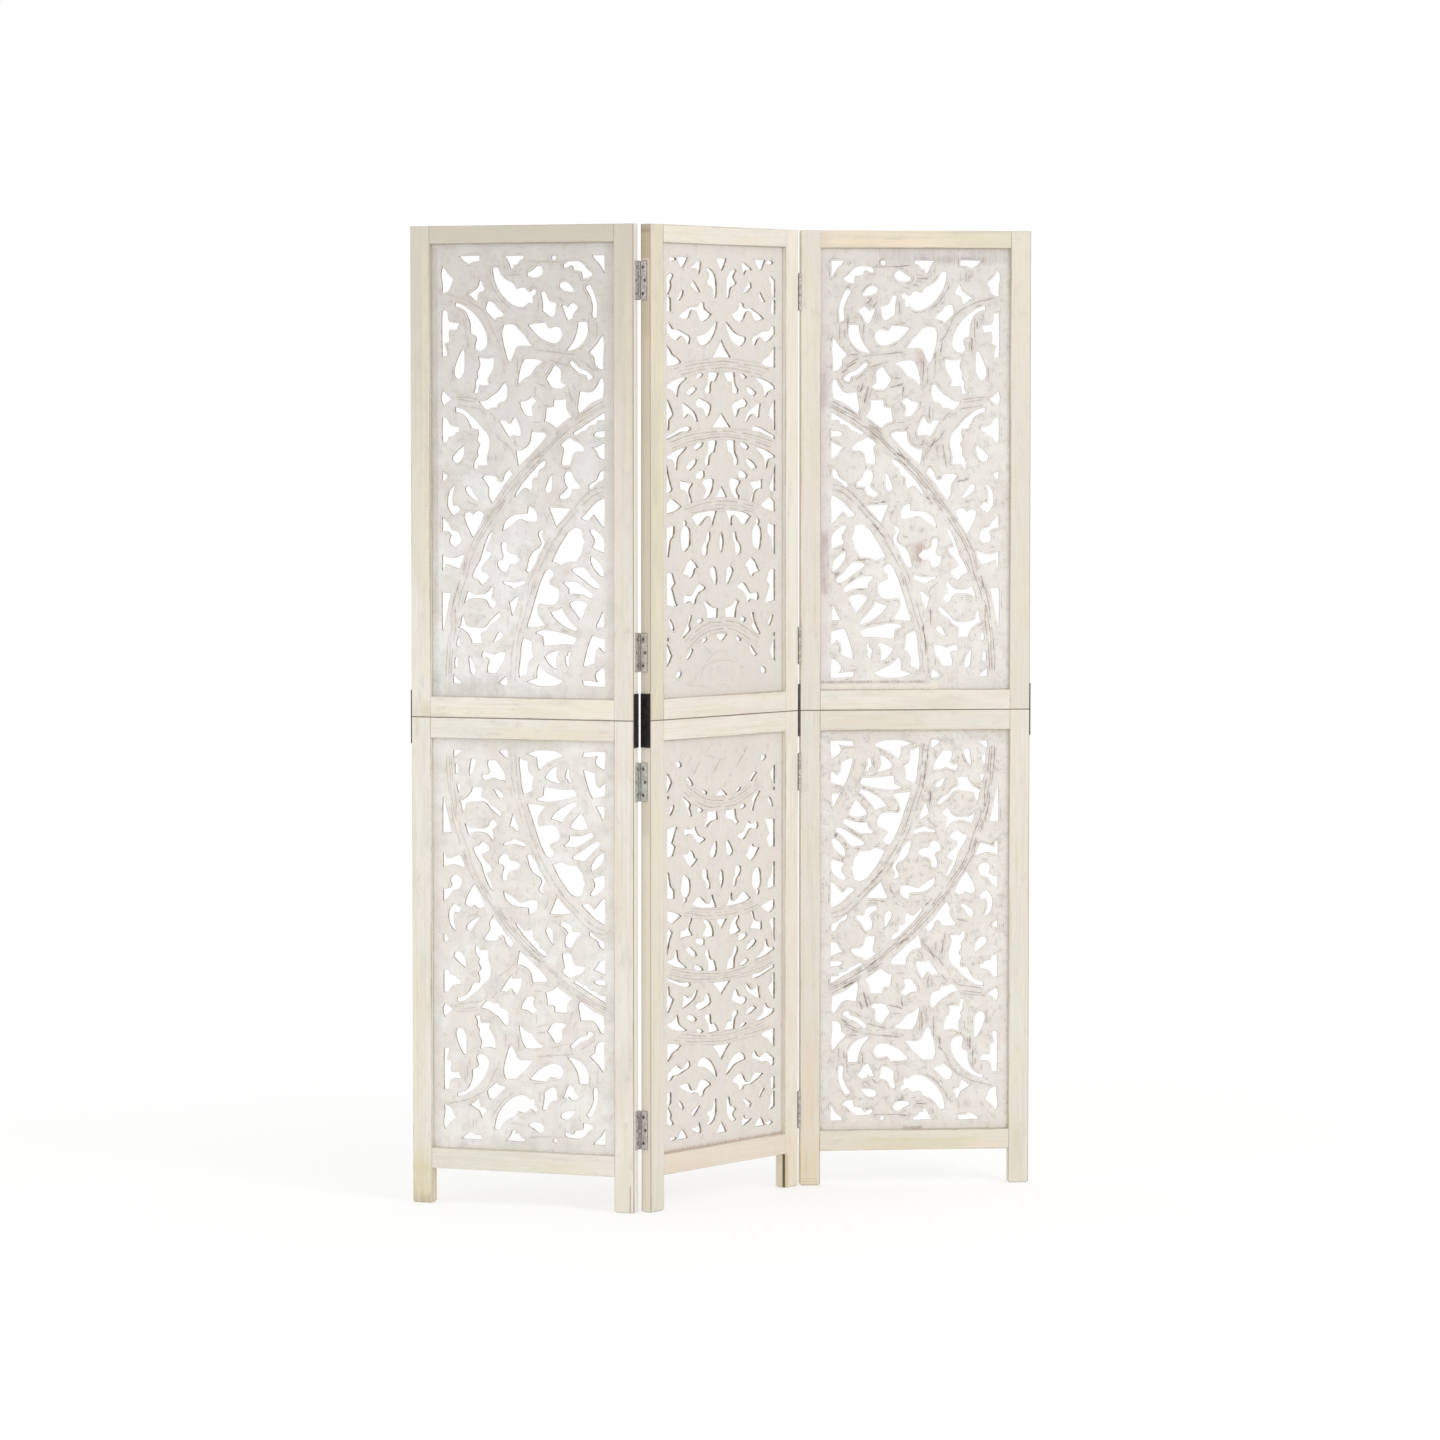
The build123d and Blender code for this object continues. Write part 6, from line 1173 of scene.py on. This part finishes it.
def steel_for(name, seed):
    """The finish of one butt hinge: every hinge has its own."""
    side, _, number = name.split("_")[:3]
    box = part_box(name)
    z0, z1 = box[0][2] * 1000.0, box[1][2] * 1000.0
    joints = [z0 + (z1 - z0) * k / 5.0 for k in range(1, 5)]
    tones = STEELS.get(f"{side}_{number}", STEELS["right"])
    return hinge_steel(f"galvanised_{name}", seed, *tones, metallic=0.7 if side == "left" else 0.45, axis=AXES[side], joints=joints,
                       crease_shade_tone=(74, 58, 46) if side == "left" else (96, 82, 70))


pin_steel = hinge_steel("galvanised_pins", 2.0, (198, 196, 192), (158, 153, 152))
screw_steel = hinge_steel("screw_heads", 9.0, (134, 126, 118), (94, 86, 80), painted=SEAM_Z)
bronze = dark_bronze("fold_plates", 3.0)
bronze_links = dark_bronze("fold_links", 5.0)
rivets = dark_bronze("fold_rivets", 7.0)
for name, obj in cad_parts.items():
    if name.endswith("_screws"):
        dress(obj, screw_steel)
    elif name.endswith("fold_hinge_leaves"):
        dress(obj, bronze)
    elif name.endswith("fold_hinge_links"):
        dress(obj, bronze_links)
    elif name.endswith("fold_hinge_rivets"):
        dress(obj, rivets)
    elif name.endswith("_pins"):
        dress(obj, pin_steel)
    elif "_hinge_" in name:
        dress(obj, steel_for(name, 2.0 + sum(map(ord, name)) % 29))

# ---------------------------------------------------------------- floor, light
def floor_material():
    """A pale studio floor that gives off half its light itself near the screen, which paints its shadows lighter, and
    all of it further out, where it runs into the white surround.
    """
    g = Graph("studio_floor")
    coords = g.node("ShaderNodeTexCoord")
    x, y, _ = g.split(coords.outputs["Object"])
    r = g.math("SQRT", g.math("ADD", g.math("MULTIPLY", x, x), g.math("MULTIPLY", y, y)))
    n = g.noise(coords.outputs["Object"], 0.9, 1.0, 2.0)
    g.put(g.bsdf.inputs["Base Color"], g.mix(g.span(n, 0.3, 0.7), lin(251, 251, 250), lin(249, 249, 247)))
    g.bsdf.inputs["Roughness"].default_value = 0.85
    g.bsdf.inputs["Specular IOR Level"].default_value = 0.1
    glow = g.node("ShaderNodeEmission")
    glow.inputs["Color"].default_value = (1.0, 1.0, 1.0, 1.0)
    glow.inputs["Strength"].default_value = 1.0
    mixer = g.node("ShaderNodeMixShader")
    # painted light: half self-lit within 0.9 m, fully self-lit from 2.8 m out
    g.put(mixer.inputs[0], g.span(r, 0.9, 2.8, 0.5, 1.0))
    g.put(mixer.inputs[1], g.bsdf.outputs[0])
    g.put(mixer.inputs[2], glow.outputs[0])
    out = [m for m in g.tree.nodes if m.type == "OUTPUT_MATERIAL"][0]
    g.put(out.inputs["Surface"], mixer.outputs[0])
    return g.mat


floor_mesh = bpy.data.meshes.new("floor")
ring = [(60.0 * math.cos(2 * math.pi * i / 96), 60.0 * math.sin(2 * math.pi * i / 96), -0.0004) for i in range(96)]
floor_mesh.from_pydata(ring, [], [tuple(range(96))])
floor = bpy.data.objects.new("floor", floor_mesh)
bpy.context.scene.collection.objects.link(floor)
dress(floor, floor_material())

world = bpy.data.worlds.new("studio")
bpy.context.scene.world = world
world.use_nodes = True
background = world.node_tree.nodes["Background"]
background.inputs["Color"].default_value = (1.0, 1.0, 1.0, 1.0)
background.inputs["Strength"].default_value = 1.0


def softbox(name, place, target, size, power):
    data = bpy.data.lights.new(name, "AREA")
    data.shape = "RECTANGLE"
    data.size, data.size_y = size
    data.energy = power
    data.color = (1.0, 0.99, 0.97)
    lamp = bpy.data.objects.new(name, data)
    lamp.location = place
    lamp.rotation_euler = (Vector(target) - Vector(place)).to_track_quat("-Z", "Y").to_euler()
    bpy.context.scene.collection.objects.link(lamp)


softbox("softbox_right", (2.9, -3.2, 2.7), (0.0, 0.0, 0.8), (1.7, 1.7), 36.0)
softbox("softbox_left", (-3.2, -2.8, 1.9), (0.0, 0.0, 0.8), (1.8, 1.8), 12.0)
